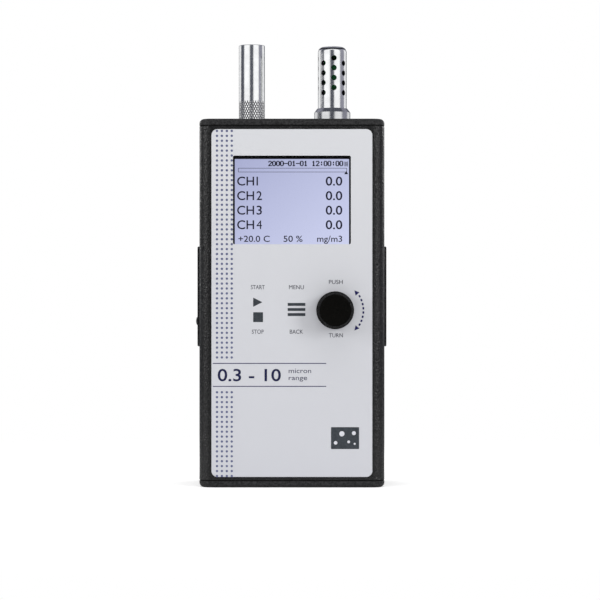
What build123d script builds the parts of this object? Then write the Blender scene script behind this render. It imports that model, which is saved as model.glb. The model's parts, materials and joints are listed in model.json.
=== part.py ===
from build123d import *

import os
from math import atan2, cos, degrees, radians, sin

# Hand-held airborne particle counter.
#
# An extruded aluminium case with two end caps stands upright on its base. A membrane overlay with a display
# window covers the front. Beside the two membrane keys a push dial turns and clicks. The sampling nozzle and
# the perforated air sensor stand on the top cap, and a connector plate is screwed to each side.
#
# Millimetres. +Z is up, -Y is the front, and the origin is the centre of the face that it stands on.

os.makedirs("parts", exist_ok=True)

# ---------------------------------------------------------------- driving dimensions

# case
case_width = 92.7
case_depth = 50.8
case_height = 184.2
corner_radius = 6.0
wall = 2.2
cap_thickness = 3.2
cap_edge_radius = 2.3
gasket_thickness = 0.6
gasket_inset = 0.4
spigot_depth = 1.6
spigot_wall = 1.8
fit_gap = 0.15  # between parts that are put together by hand
running_gap = 0.05  # between a shaft and its bore

# case screws, M3 countersunk
screw_inset = 5.6
screw_radius = 1.45
screw_head_radius = 2.9
screw_length = 12.0
screw_drive = 1.6
screw_port_radius = 3.6

# front overlay and display window
overlay_width = 80.2
overlay_end_margin = 1.6
overlay_thickness = 0.4
overlay_recess = 0.5
overlay_corner = 3.0
window_width = 58.8
window_height = 44.2
window_drop = 40.7  # from the top of the case to the middle of the window
window_corner = 0.8
lens_margin = 1.6

# display module
display_gasket_thickness = 0.8
display_gasket_margin = 2.2
lcd_view_width = 57.1
lcd_view_height = 43.2
lcd_view_drop = 1.0  # the view sits a little low in the window, so its dark edge shows at the top
lcd_glass_margin = 1.8
lcd_glass_thickness = 1.8
lcd_frame_wall = 2.4
lcd_frame_face = 0.5
lcd_depth = 6.0
lcd_board_side_gap = 6.35  # to the housing's wall, clear of the ports of the case screws
lcd_board_margin = 4.8  # above and below the frame, with room for the screw heads
lcd_screw_inset = 2.6
lcd_screw_radius = 1.1
lcd_screw_head = 2.1
lcd_screw_head_height = 1.3
lcd_screw_end = 1.5  # behind the main board

# circuit boards and the guides that hold the main one
board_thickness = 1.6
board_setback = 13.4
guide_rib = 1.2
guide_depth = 2.0
processor_size = 14.0
processor_x = -14.0
memory_width = 9.0
memory_x = 4.0
chip_row_gap = 36.5  # from the controls down to the processor
chip_row_drop = 18.0
small_chip_width = 5.0
small_chip_height = 4.0
small_chip_pitch = 9.0
small_chip_count = 6
board_chip_height = 1.6

# controls on the front
control_drop = 55.0  # from the middle of the window to the keys and the dial
start_x = -16.95
menu_x = 2.3
dial_x = 21.55
key_width = 11.0
key_height = 16.0
key_corner = 2.5
key_flange = 1.2
key_flange_thickness = 0.9
key_stem_radius = 1.75
tact_size = 6.0
tact_height = 3.5
tact_well = 1.5
key_engagement = 0.5  # of a stem in its switch

# push dial
dial_radius = 9.5
dial_face_radius = 7.5
dial_height = 10.8
dial_lift = 0.9  # between overlay and knob, more than the dial's travel
dial_travel = 0.5
dial_wall = 1.5
dial_cap = 2.0  # between the face and the end of the shaft
dial_hub_radius = 4.6
dial_skirt = 1.0  # straight foot under the tapered flank
dial_rim = 0.5
dial_dish = 0.5
dial_flutes = 30
flute_width = 0.6
shaft_radius = 3.0
shaft_flat = 1.9
bushing_radius = 3.5
encoder_size = 13.0
encoder_depth = 4.5
encoder_plate = 1.2
rotor_radius = 5.2
rotor_thickness = 1.4

# side plates
plate_width = 35.0
plate_height = 50.2
plate_rise = 3.3  # above the middle of the case
plate_thickness = 1.1
plate_corner = 2.0
plate_edge = 0.3
plate_screw_inset = 2.7
plate_screw_radius = 0.95
plate_screw_head = 1.8
plate_screw_length = 3.2
plate_screw_drive = 1.0
side_cut_margin = 6.2  # between the ends of a plate and the opening behind it

# power button, left side
power_drop = 12.4  # below the middle of its plate
power_radius = 2.2
power_stand_out = 1.2
power_travel = 0.6
power_flange = 1.0
power_switch_size = 7.0
power_bevel = 0.6

# charger jack, left side
jack_rise = 5.6
jack_size = 9.0
jack_length = 12.0
jack_bore_radius = 3.1
jack_bore_depth = 9.5
jack_pin_radius = 1.0
jack_pin_recess = 0.8

# data port and vent, right side
port_drop = 7.4
port_width = 7.7
port_height = 3.9
port_length = 9.0
port_wall = 0.5
port_tongue = 0.8
vent_y = 0.0
vent_rise = 12.6
vent_slots = 4
vent_length = 15.0
vent_slot = 1.6
vent_pitch = 3.4

# sampling nozzle
nozzle_x = -20.5
nozzle_radius = 6.6
nozzle_height = 39.0
nozzle_lift = 0.3
nozzle_edge = 0.4
mouth_wall = 0.5
mouth_depth = 24.0
air_bore = 2.0
stub_radius = 4.0
stub_height = 7.5
socket_depth = 8.4
seal_seat_radius = 5.5
seal_seat_depth = 1.0
fitting_flange_radius = 7.0
fitting_flange = 3.0
tail_radius = 3.0
tail_length = 8.0

# air sensor
probe_x = 20.5
probe_radius = 7.3
probe_top = 38.2
probe_wall = 1.2
probe_crown = 2.7
probe_collar_radius = 9.2
probe_collar_height = 4.9
probe_collar_slope = 1.9
probe_collar_lip = 0.4
probe_seat = 3.0
probe_tail_radius = 5.8
probe_tail = 9.0
probe_bore = 4.4
probe_columns = 8
probe_rows = 4
probe_hole_radius = 1.4
probe_pitch = 5.0
probe_first_hole = 32.1  # height of the highest hole of a raised column above the cap
probe_turn = 6.0
probe_nut_size = 14.0
probe_nut_thickness = 3.0
sensor_width = 8.0
sensor_thickness = 1.0
sensor_length = 42.5
sensor_drop = 8.5
chip_size = 3.0
chip_thickness = 1.0

# carrier plate on the rear wall
chassis_thickness = 1.5
chassis_gap = 0.1

# optical bench
optics_width = 32.0
optics_height = 30.0
inlet_hose_gap = 1.0  # inside the hose, between the fitting and the barb below it
optics_front_y = -6.0
barb_length = 5.0
outlet_bore = 1.0
beam_radius = 2.0
laser_radius = 4.5
laser_length = 24.0
laser_engagement = 8.0
trap_flange_radius = 5.5
trap_flange = 2.0
trap_length = 6.0
detector_width = 22.0
detector_height = 24.0
detector_bore = 5.0
detector_reach = 2.5

# pump
pump_y = 6.0
pump_barb_radius = 2.0
pump_size = 22.0
pump_corner = 1.5
motor_bearing = 2.0
pump_head_height = 14.0
outlet_hose_run = 16.0  # from the optical bench down to the pump
motor_radius = 10.5
motor_length = 27.0
clamp_wall = 1.3
clamp_width = 9.0
clamp_foot = 6.0

# hoses and exhaust filter
hose_wall = 1.2
filter_radius = 10.0
filter_length = 28.0
filter_x = 7.0

# battery
cell_radius = 9.15
cradle_headroom = 3.2  # over the cradle, under the pump's motor
cell_count = 3
cell_gap = 0.4
cradle_floor = 1.6
cradle_wall = 1.4
cradle_height = 9.6

# ---------------------------------------------------------------- places worked out from them

front_y = -case_depth / 2
back_y = case_depth / 2
side_x = case_width / 2
inner_x = side_x - wall
inner_front_y = front_y + wall
inner_back_y = back_y - wall
tube_bottom = cap_thickness + gasket_thickness
tube_top = case_height - tube_bottom
tube_length = tube_top - tube_bottom
screw_x = side_x - screw_inset
screw_y = case_depth / 2 - screw_inset
cap_inner_top = case_height - cap_thickness
mid_z = case_height / 2

recess_y = front_y + overlay_recess
overlay_height = tube_length - 2 * overlay_end_margin
board_front_y = front_y + board_setback
board_back_y = board_front_y + board_thickness
board_bottom = tube_bottom + spigot_depth + fit_gap
board_top = tube_top - spigot_depth - fit_gap
board_half_width = inner_x - fit_gap

# heights, worked down from the top of the case
window_z = case_height - window_drop
control_z = window_z - control_drop
chip_row_z = control_z - chip_row_gap
plate_z = mid_z + plate_rise
power_z = plate_z - power_drop
jack_z = plate_z + jack_rise
port_z = plate_z - port_drop
vent_z = plate_z + vent_rise

lens_width = window_width + 2 * lens_margin
lens_height = window_height + 2 * lens_margin
lcd_front_y = inner_front_y + display_gasket_thickness
lcd_back_y = lcd_front_y + lcd_depth
lcd_z = window_z - lcd_view_drop
lcd_glass_width = lcd_view_width + 2 * lcd_glass_margin
lcd_glass_height = lcd_view_height + 2 * lcd_glass_margin
lcd_frame_width = lcd_glass_width + 2 * lcd_frame_wall
lcd_frame_height = lcd_glass_height + 2 * lcd_frame_wall
lcd_board_width = 2 * (inner_x - lcd_board_side_gap)
lcd_board_height = lcd_frame_height + 2 * lcd_board_margin
lcd_board_back_y = lcd_back_y + board_thickness
lcd_screw_x = lcd_board_width / 2 - lcd_screw_inset
lcd_screw_z = lcd_board_height / 2 - lcd_screw_inset

tact_front_y = board_front_y - tact_height
key_front_y = recess_y + running_gap
key_flange_y = inner_front_y + fit_gap
dial_base_y = recess_y - overlay_thickness - dial_lift
dial_top_y = dial_base_y - dial_height
encoder_front_y = board_front_y - encoder_depth
plate_outer_x = side_x + plate_thickness

nozzle_seat_z = case_height + nozzle_lift
chassis_front_y = inner_back_y - chassis_gap - chassis_thickness
chassis_half_width = screw_x - screw_port_radius - fit_gap
optics_top = cap_inner_top - fitting_flange - tail_length - inlet_hose_gap - barb_length
optics_z = optics_top - optics_height / 2
optics_bottom = optics_top - optics_height
pump_top = optics_bottom - outlet_hose_run
pump_head_z = pump_top - pump_head_height
pump_outlet_x = nozzle_x + pump_size / 2
pump_outlet_z = pump_head_z + pump_head_height / 2
cell_pitch = 2 * cell_radius + cell_gap
cell_y = chassis_front_y - cradle_floor - cell_radius - fit_gap
cell_bottom = board_bottom + cradle_wall + 2 * fit_gap

# ---------------------------------------------------------------- helpers

# directions of turned parts: (the way the part points, the way its radius is drawn)
UPWARD = (Vector(0, 0, 1), Vector(1, 0, 0))
DOWNWARD = (Vector(0, 0, -1), Vector(1, 0, 0))
OUT_FRONT = (Vector(0, -1, 0), Vector(1, 0, 0))
OUT_LEFT = (Vector(-1, 0, 0), Vector(0, 0, 1))
OUT_RIGHT = (Vector(1, 0, 0), Vector(0, 0, 1))


def facing_front(y):
    """Drawing plane at depth y that looks out of the front: local x is +X, local y is +Z."""
    return Plane.XZ.offset(-y)


def facing_side(x):
    """Drawing plane across the case at x: local x is +Y, local y is +Z, and it looks along +X."""
    return Plane.YZ.offset(x)


def at_height(z):
    """Horizontal drawing plane at height z."""
    return Plane.XY.offset(z)


def turn(foot, way, outline):
    """Revolves an outline of (radius, height) points about the axis that leaves the foot in a direction."""
    axis, radial = way
    with BuildSketch(Plane(origin=foot, x_dir=radial, z_dir=radial.cross(axis))) as profile:
        with BuildLine():
            Polyline(*outline, close=True)
        make_face()
    revolve(profile.sketch, axis=Axis(foot, axis))


def block(low, high, mode=Mode.ADD):
    """Rectangular block between two opposite corners."""
    size = [upper - lower for lower, upper in zip(low, high)]
    middle = tuple((upper + lower) / 2 for lower, upper in zip(low, high))
    with Locations(middle):
        Box(*size, mode=mode)


def countersunk_screw(top, way, radius, head_radius, length, drive):
    """Countersunk 90 degree screw whose head lies flush at the point top, with a socket for the driver."""
    foot = top - way[0] * length
    head_height = head_radius - radius
    turn(
        foot,
        way,
        [
            (0, 0),
            (radius, 0),
            (radius, length - head_height),
            (head_radius, length),
            (0, length),
        ],
    )
    with BuildSketch(Plane(origin=top, x_dir=way[1], z_dir=way[0])) as socket:
        RegularPolygon(drive, 6)
    extrude(socket.sketch, amount=-head_height * 0.6, mode=Mode.SUBTRACT)


def save(piece, name):
    """Names a finished piece and writes it as one file."""
    piece.part.label = name
    export_step(piece.part, f"parts/{name}.step")


# ---------------------------------------------------------------- housing

board_slot_half = board_thickness / 2 + fit_gap
board_mid_y = board_front_y + board_thickness / 2
side_cut_height = plate_height - 2 * side_cut_margin
side_cut_front_y = board_back_y - fit_gap
left_cut_width = jack_size + 3.0
right_cut_width = vent_length + 7.0
plate_screw_y = plate_width / 2 - plate_screw_inset
plate_screw_z = plate_height / 2 - plate_screw_inset

with BuildPart() as housing:
    with BuildSketch(at_height(tube_bottom)):
        RectangleRounded(case_width, case_depth, corner_radius)
        RectangleRounded(2 * inner_x, case_depth - 2 * wall, corner_radius - wall, mode=Mode.SUBTRACT)
        with GridLocations(2 * screw_x, 2 * screw_y, 2, 2):
            Circle(screw_port_radius)
        # pairs of ribs on both side walls hold the edges of the main board
        with Locations((0, board_mid_y)):
            with GridLocations(2 * inner_x - guide_depth, 2 * board_slot_half + guide_rib, 2, 2):
                Rectangle(guide_depth, guide_rib)
        with GridLocations(2 * screw_x, 2 * screw_y, 2, 2):
            Circle(screw_radius + running_gap, mode=Mode.SUBTRACT)
    extrude(amount=tube_length)
    # shallow recess for the overlay
    with BuildSketch(facing_front(front_y)):
        with Locations((0, mid_z)):
            RectangleRounded(
                overlay_width + 2 * fit_gap,
                overlay_height + 2 * fit_gap,
                overlay_corner + fit_gap,
            )
    extrude(amount=-overlay_recess, mode=Mode.SUBTRACT)
    # display, key and dial openings in the front wall
    with BuildSketch(facing_front(front_y)):
        with Locations((0, window_z)):
            RectangleRounded(lens_width + 2 * fit_gap, lens_height + 2 * fit_gap, window_corner)
        with Locations((start_x, control_z), (menu_x, control_z)):
            RectangleRounded(key_width + 2 * fit_gap, key_height + 2 * fit_gap, key_corner)
        with Locations((dial_x, control_z)):
            Circle(bushing_radius + 2 * fit_gap)
    extrude(amount=-wall, mode=Mode.SUBTRACT)
    # connector openings behind the side plates
    with BuildSketch(facing_side(-side_x)):
        with Locations((side_cut_front_y + left_cut_width / 2, plate_z)):
            RectangleRounded(left_cut_width, side_cut_height, 1.0)
    extrude(amount=wall + guide_depth, mode=Mode.SUBTRACT)
    with BuildSketch(facing_side(side_x)):
        with Locations((side_cut_front_y + right_cut_width / 2, plate_z)):
            RectangleRounded(right_cut_width, side_cut_height, 1.0)
    extrude(amount=-wall - guide_depth, mode=Mode.SUBTRACT)
    # threaded holes for the side plate screws, drilled through both walls at once
    with BuildSketch(facing_side(-side_x)):
        with Locations((0, plate_z)):
            with GridLocations(2 * plate_screw_y, 2 * plate_screw_z, 2, 2):
                Circle(plate_screw_radius + running_gap)
    extrude(amount=case_width, mode=Mode.SUBTRACT)
save(housing, "housing")


# ---------------------------------------------------------------- end caps, gaskets and case screws

port_notch = 2 * (screw_inset + screw_port_radius + fit_gap - wall)
top_joint = at_height(cap_inner_top)
top_face = at_height(case_height)
bottom_joint = Plane(origin=(0, 0, cap_thickness), x_dir=(-1, 0, 0), z_dir=(0, 0, -1))
bottom_face = Plane(origin=(0, 0, 0), x_dir=(-1, 0, 0), z_dir=(0, 0, -1))


def cap_body(joint):
    """Cap plate with the four bars of a spigot that fit inside the walls; joint is where they meet."""
    with BuildSketch(joint) as outline:
        RectangleRounded(case_width, case_depth, corner_radius)
    extrude(outline.sketch, amount=cap_thickness)
    with BuildSketch(joint) as spigot:
        Rectangle(2 * (inner_x - fit_gap), 2 * (inner_back_y - fit_gap))
        Rectangle(
            2 * (inner_x - fit_gap - spigot_wall),
            2 * (inner_back_y - fit_gap - spigot_wall),
            mode=Mode.SUBTRACT,
        )
        with GridLocations(2 * inner_x, 2 * inner_back_y, 2, 2):
            Rectangle(port_notch, port_notch, mode=Mode.SUBTRACT)
        with Locations((0, board_mid_y)):
            Rectangle(case_width, 2 * (board_slot_half + guide_rib + fit_gap), mode=Mode.SUBTRACT)
    extrude(spigot.sketch, amount=-spigot_depth)


def cap_screw_holes(face):
    """Countersunk holes at the corners of a cap; face is the plane of its outer face."""
    with Locations(face):
        with GridLocations(2 * screw_x, 2 * screw_y, 2, 2):
            CounterSinkHole(
                screw_radius + running_gap, screw_head_radius, depth=cap_thickness, counter_sink_angle=90
            )


def case_gasket(z):
    """Flat gasket between the housing and a cap, from height z up."""
    with BuildSketch(at_height(z)) as outline:
        RectangleRounded(
            case_width - 2 * gasket_inset, case_depth - 2 * gasket_inset, corner_radius - gasket_inset
        )
        RectangleRounded(2 * inner_x, 2 * inner_back_y, corner_radius - wall, mode=Mode.SUBTRACT)
        with GridLocations(2 * screw_x, 2 * screw_y, 2, 2):
            Circle(screw_port_radius)
        with GridLocations(2 * screw_x, 2 * screw_y, 2, 2):
            Circle(screw_radius + running_gap, mode=Mode.SUBTRACT)
    extrude(outline.sketch, amount=gasket_thickness)


with BuildPart() as top_cap:
    cap_body(top_joint)
    fillet(top_cap.faces().sort_by(Axis.Z)[-1].edges(), cap_edge_radius)
    cap_screw_holes(top_face)
    with Locations((nozzle_x, 0, case_height)):
        Hole(stub_radius + running_gap, depth=cap_thickness)
    with Locations((probe_x, 0, case_height)):
        Hole(probe_tail_radius + running_gap, depth=cap_thickness)
save(top_cap, "top_cap")

with BuildPart() as bottom_cap:
    cap_body(bottom_joint)
    fillet(bottom_cap.faces().sort_by(Axis.Z)[0].edges(), cap_edge_radius)
    cap_screw_holes(bottom_face)
save(bottom_cap, "bottom_cap")

with BuildPart() as top_gasket:
    case_gasket(tube_top)
save(top_gasket, "top_gasket")

with BuildPart() as bottom_gasket:
    case_gasket(cap_thickness)
save(bottom_gasket, "bottom_gasket")

with BuildPart() as top_cap_screws:
    for place in GridLocations(2 * screw_x, 2 * screw_y, 2, 2):
        countersunk_screw(
            Vector(place.position.X, place.position.Y, case_height),
            UPWARD,
            screw_radius,
            screw_head_radius,
            screw_length,
            screw_drive,
        )
save(top_cap_screws, "top_cap_screws")

with BuildPart() as bottom_cap_screws:
    for place in GridLocations(2 * screw_x, 2 * screw_y, 2, 2):
        countersunk_screw(
            Vector(place.position.X, place.position.Y, 0),
            DOWNWARD,
            screw_radius,
            screw_head_radius,
            screw_length,
            screw_drive,
        )
save(bottom_cap_screws, "bottom_cap_screws")

# ---------------------------------------------------------------- overlay and display

with BuildPart() as front_overlay:
    with BuildSketch(facing_front(recess_y)):
        with Locations((0, mid_z)):
            RectangleRounded(overlay_width, overlay_height, overlay_corner)
        with Locations((0, window_z)):
            RectangleRounded(window_width, window_height, window_corner, mode=Mode.SUBTRACT)
        with Locations((dial_x, control_z)):
            Circle(bushing_radius + 4 * fit_gap, mode=Mode.SUBTRACT)
    extrude(amount=overlay_thickness)
save(front_overlay, "front_overlay")

with BuildPart() as display_lens:
    with BuildSketch(facing_front(recess_y)):
        with Locations((0, window_z)):
            RectangleRounded(lens_width, lens_height, window_corner)
    extrude(amount=recess_y - inner_front_y)
save(display_lens, "display_lens")

with BuildPart() as display_gasket:
    with BuildSketch(facing_front(inner_front_y)):
        with Locations((0, window_z)):
            RectangleRounded(
                lens_width + 2 * display_gasket_margin,
                lens_height + 2 * display_gasket_margin,
                window_corner,
            )
            Rectangle(window_width, window_height, mode=Mode.SUBTRACT)
    extrude(amount=-display_gasket_thickness)
save(display_gasket, "display_gasket")

with BuildPart() as lcd_frame:
    with BuildSketch(facing_front(lcd_front_y)):
        with Locations((0, lcd_z)):
            RectangleRounded(lcd_frame_width, lcd_frame_height, 1.5)
            Rectangle(lcd_view_width, lcd_view_height, mode=Mode.SUBTRACT)
    extrude(amount=-lcd_depth)
    with BuildSketch(facing_front(lcd_front_y + lcd_frame_face)):
        with Locations((0, lcd_z)):
            Rectangle(lcd_glass_width + 2 * fit_gap, lcd_glass_height + 2 * fit_gap)
    extrude(amount=-lcd_depth, mode=Mode.SUBTRACT)
save(lcd_frame, "lcd_frame")

with BuildPart() as lcd_panel:
    with BuildSketch(facing_front(lcd_front_y + lcd_frame_face)):
        with Locations((0, lcd_z)):
            Rectangle(lcd_glass_width, lcd_glass_height)
    extrude(amount=-lcd_glass_thickness)
save(lcd_panel, "lcd_panel")

with BuildPart() as lcd_backlight:
    with BuildSketch(facing_front(lcd_front_y + lcd_frame_face + lcd_glass_thickness)):
        with Locations((0, lcd_z)):
            Rectangle(lcd_glass_width, lcd_glass_height)
    extrude(amount=-(lcd_depth - lcd_frame_face - lcd_glass_thickness))
save(lcd_backlight, "lcd_backlight")

with BuildPart() as lcd_board:
    with BuildSketch(facing_front(lcd_back_y)):
        with Locations((0, lcd_z)):
            Rectangle(lcd_board_width, lcd_board_height)
            with GridLocations(2 * lcd_screw_x, 2 * lcd_screw_z, 2, 2):
                Circle(lcd_screw_radius + running_gap, mode=Mode.SUBTRACT)
    extrude(amount=-board_thickness)
save(lcd_board, "lcd_board")

with BuildPart() as lcd_spacers:
    with BuildSketch(facing_front(lcd_board_back_y)):
        with Locations((0, lcd_z)):
            with GridLocations(2 * lcd_screw_x, 2 * lcd_screw_z, 2, 2):
                Circle(lcd_screw_head)
                Circle(lcd_screw_radius + running_gap, mode=Mode.SUBTRACT)
    extrude(amount=lcd_board_back_y - board_front_y)
save(lcd_spacers, "lcd_spacers")

with BuildPart() as lcd_screws:
    for place in GridLocations(2 * lcd_screw_x, 2 * lcd_screw_z, 2, 2):
        shank = board_back_y + lcd_screw_end - lcd_back_y
        turn(
            Vector(place.position.X, board_back_y + lcd_screw_end, lcd_z + place.position.Y),
            OUT_FRONT,
            [
                (0, 0),
                (lcd_screw_radius, 0),
                (lcd_screw_radius, shank),
                (lcd_screw_head, shank),
                (lcd_screw_head, shank + lcd_screw_head_height),
                (0, shank + lcd_screw_head_height),
            ],
        )
save(lcd_screws, "lcd_screws")

# ---------------------------------------------------------------- main board

with BuildPart() as main_board:
    with BuildSketch(facing_front(board_front_y)):
        with Locations((0, (board_bottom + board_top) / 2)):
            Rectangle(2 * board_half_width, board_top - board_bottom)
        with Locations((0, lcd_z)):
            with GridLocations(2 * lcd_screw_x, 2 * lcd_screw_z, 2, 2):
                Circle(lcd_screw_radius + running_gap, mode=Mode.SUBTRACT)
    extrude(amount=-board_thickness)
save(main_board, "main_board")

with BuildPart() as board_chips:
    with BuildSketch(facing_front(board_front_y)):
        with Locations((processor_x, chip_row_z)):
            Rectangle(processor_size, processor_size)
        with Locations((memory_x, chip_row_z)):
            Rectangle(memory_width, processor_size)
        with Locations((0, chip_row_z - chip_row_drop)):
            with GridLocations(small_chip_pitch, 0, small_chip_count, 1):
                Rectangle(small_chip_width, small_chip_height)
    extrude(amount=board_chip_height)
save(board_chips, "board_chips")

# ---------------------------------------------------------------- membrane keys and their switches


def membrane_key(x):
    """Key under the overlay: a pad in the wall opening, a stop flange behind the wall and a stem."""
    with BuildSketch(facing_front(key_flange_y)) as pad:
        with Locations((x, control_z)):
            RectangleRounded(key_width, key_height, key_corner)
    extrude(pad.sketch, amount=key_flange_y - key_front_y)
    with BuildSketch(facing_front(key_flange_y)) as flange:
        with Locations((x, control_z)):
            RectangleRounded(key_width + 2 * key_flange, key_height + 2 * key_flange, key_corner)
    extrude(flange.sketch, amount=-key_flange_thickness)
    with BuildSketch(facing_front(key_flange_y)) as stem:
        with Locations((x, control_z)):
            Circle(key_stem_radius)
    extrude(stem.sketch, amount=-(tact_front_y + key_engagement - key_flange_y))


def tact_switch(x):
    """Square switch on the main board, with a well for the stem of its key."""
    block(
        (x - tact_size / 2, tact_front_y, control_z - tact_size / 2),
        (x + tact_size / 2, board_front_y, control_z + tact_size / 2),
    )
    with BuildSketch(facing_front(tact_front_y)) as well:
        with Locations((x, control_z)):
            Circle(key_stem_radius + fit_gap)
    extrude(well.sketch, amount=-tact_well, mode=Mode.SUBTRACT)


with BuildPart() as start_key:
    membrane_key(start_x)
save(start_key, "start_key")

with BuildPart() as menu_key:
    membrane_key(menu_x)
save(menu_key, "menu_key")

with BuildPart() as start_switch:
    tact_switch(start_x)
save(start_switch, "start_switch")

with BuildPart() as menu_switch:
    tact_switch(menu_x)
save(menu_switch, "menu_switch")

# ---------------------------------------------------------------- push dial and its encoder

rotor_back_y = encoder_front_y + encoder_plate + running_gap + rotor_thickness
shaft_back_y = rotor_back_y


def shaft_section(extra):
    """Outline of the shaft with its flat, grown by extra all round, at the dial's place on the front."""
    with BuildSketch(mode=Mode.PRIVATE) as section:
        with Locations((dial_x, control_z)):
            Circle(shaft_radius + extra)
        with Locations((dial_x, control_z + shaft_flat + extra)):
            Rectangle(
                4 * shaft_radius,
                2 * shaft_radius,
                align=(Align.CENTER, Align.MIN),
                mode=Mode.SUBTRACT,
            )
    return section.sketch


with BuildPart() as encoder_base:
    block(
        (dial_x - encoder_size / 2, encoder_front_y + encoder_plate, control_z - encoder_size / 2),
        (dial_x + encoder_size / 2, board_front_y, control_z + encoder_size / 2),
    )
    with BuildSketch(facing_front(encoder_front_y + encoder_plate)):
        with Locations((dial_x, control_z)):
            Circle(rotor_radius + running_gap)
    extrude(amount=-(rotor_thickness + 2 * running_gap), mode=Mode.SUBTRACT)
    with BuildSketch(facing_front(rotor_back_y)):
        with Locations((dial_x, control_z)):
            Circle(shaft_radius + running_gap)
    extrude(amount=-(dial_travel + 2 * fit_gap), mode=Mode.SUBTRACT)
save(encoder_base, "encoder_base")

with BuildPart() as encoder_bushing:
    with BuildSketch(facing_front(encoder_front_y + encoder_plate)):
        with Locations((dial_x, control_z)):
            Rectangle(encoder_size, encoder_size)
    extrude(amount=encoder_plate)
    with BuildSketch(facing_front(encoder_front_y)):
        with Locations((dial_x, control_z)):
            Circle(bushing_radius)
    extrude(amount=encoder_front_y - recess_y)
    with BuildSketch(facing_front(encoder_front_y + encoder_plate)):
        with Locations((dial_x, control_z)):
            Circle(shaft_radius + running_gap)
    extrude(amount=encoder_front_y + encoder_plate - recess_y, mode=Mode.SUBTRACT)
save(encoder_bushing, "encoder_bushing")

with BuildPart() as encoder_rotor:
    with BuildSketch(facing_front(rotor_back_y)):
        with Locations((dial_x, control_z)):
            Circle(rotor_radius)
        add(shaft_section(running_gap), mode=Mode.SUBTRACT)
    extrude(amount=rotor_thickness)
save(encoder_rotor, "encoder_rotor")

with BuildPart() as dial_shaft:
    with BuildSketch(facing_front(shaft_back_y)):
        add(shaft_section(0))
    extrude(amount=shaft_back_y - (dial_top_y + dial_cap))
save(dial_shaft, "dial_shaft")

with BuildPart() as dial_knob:
    # tapered body with a dished face and a hollow skirt
    turn(
        Vector(dial_x, dial_base_y, control_z),
        OUT_FRONT,
        [
            (0, 0),
            (dial_hub_radius, 0),
            (dial_hub_radius, dial_height - dial_cap),
            (dial_face_radius - dial_wall, dial_height - dial_cap),
            (dial_radius - dial_wall, 0),
            (dial_radius, 0),
            (dial_radius, dial_skirt),
            (dial_face_radius, dial_height - dial_rim),
            (dial_face_radius - dial_rim, dial_height),
            (0, dial_height - dial_dish),
        ],
    )
    # grip flutes that follow the taper
    flank = dial_height - dial_rim - dial_skirt
    flank_angle = atan2(dial_radius - dial_face_radius, flank)
    flank_middle = Plane(
        origin=(dial_x, dial_base_y - dial_skirt - flank / 2, control_z), x_dir=(1, 0, 0), z_dir=(0, -1, 0)
    )
    with Locations(flank_middle):
        with PolarLocations((dial_radius + dial_face_radius) / 2, dial_flutes):
            # a square bar that lies along the flank on one edge cuts a V
            Box(
                flute_width,
                flute_width,
                2 * flank,
                rotation=(0, -degrees(flank_angle), 45),
                mode=Mode.SUBTRACT,
            )
    # hole for the shaft
    with BuildSketch(facing_front(dial_base_y)):
        add(shaft_section(0))
    extrude(amount=dial_height - dial_cap, mode=Mode.SUBTRACT)
save(dial_knob, "dial_knob")

# ---------------------------------------------------------------- side plates and connectors

power_y = board_back_y + power_switch_size / 2
jack_y = board_back_y + jack_size / 2
port_y = board_back_y + port_height / 2
power_flange_x = side_x - running_gap
power_switch_x = power_flange_x - power_flange - power_travel - running_gap


def side_plate(plane):
    """Rounded plate that lies on a side wall; plane is the wall's, facing out."""
    with BuildSketch(plane) as outline:
        RectangleRounded(plate_width, plate_height, plate_corner)
    extrude(outline.sketch, amount=plate_thickness)


def plate_screw_holes(plane):
    """Countersunk holes at the corners of a side plate; plane is its outer face."""
    with Locations(plane):
        with GridLocations(2 * plate_screw_y, 2 * plate_screw_z, 2, 2):
            CounterSinkHole(
                plate_screw_radius + running_gap,
                plate_screw_head,
                depth=plate_thickness,
                counter_sink_angle=90,
            )


def plate_screws(x, way):
    """The four screws of a side plate whose outer face is at x."""
    for place in GridLocations(2 * plate_screw_y, 2 * plate_screw_z, 2, 2):
        countersunk_screw(
            Vector(x, place.position.X, plate_z + place.position.Y),
            way,
            plate_screw_radius,
            plate_screw_head,
            plate_screw_length,
            plate_screw_drive,
        )


left_plane = Plane(origin=(-side_x, 0, plate_z), x_dir=(0, -1, 0), z_dir=(-1, 0, 0))
right_plane = Plane(origin=(side_x, 0, plate_z), x_dir=(0, 1, 0), z_dir=(1, 0, 0))

with BuildPart() as left_plate:
    side_plate(left_plane)
    chamfer(left_plate.faces().sort_by(Axis.X)[0].edges(), plate_edge)
    plate_screw_holes(left_plane.offset(plate_thickness))
    with BuildSketch(facing_side(-side_x)):
        with Locations((power_y, power_z)):
            Circle(power_radius + running_gap)
        with Locations((jack_y, jack_z)):
            Circle(jack_bore_radius + fit_gap)
    extrude(amount=-plate_thickness, mode=Mode.SUBTRACT)
save(left_plate, "left_plate")

with BuildPart() as right_plate:
    side_plate(right_plane)
    chamfer(right_plate.faces().sort_by(Axis.X)[-1].edges(), plate_edge)
    plate_screw_holes(right_plane.offset(plate_thickness))
    with BuildSketch(facing_side(side_x)):
        with Locations((port_y, port_z)):
            RectangleRounded(port_height + 2 * fit_gap, port_width + 2 * fit_gap, port_wall)
        with Locations((vent_y, vent_z)):
            with GridLocations(0, vent_pitch, 1, vent_slots):
                SlotOverall(vent_length, vent_slot)
    extrude(amount=plate_thickness, mode=Mode.SUBTRACT)
save(right_plate, "right_plate")

with BuildPart() as left_plate_screws:
    plate_screws(-plate_outer_x, OUT_LEFT)
save(left_plate_screws, "left_plate_screws")

with BuildPart() as right_plate_screws:
    plate_screws(plate_outer_x, OUT_RIGHT)
save(right_plate_screws, "right_plate_screws")

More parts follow.
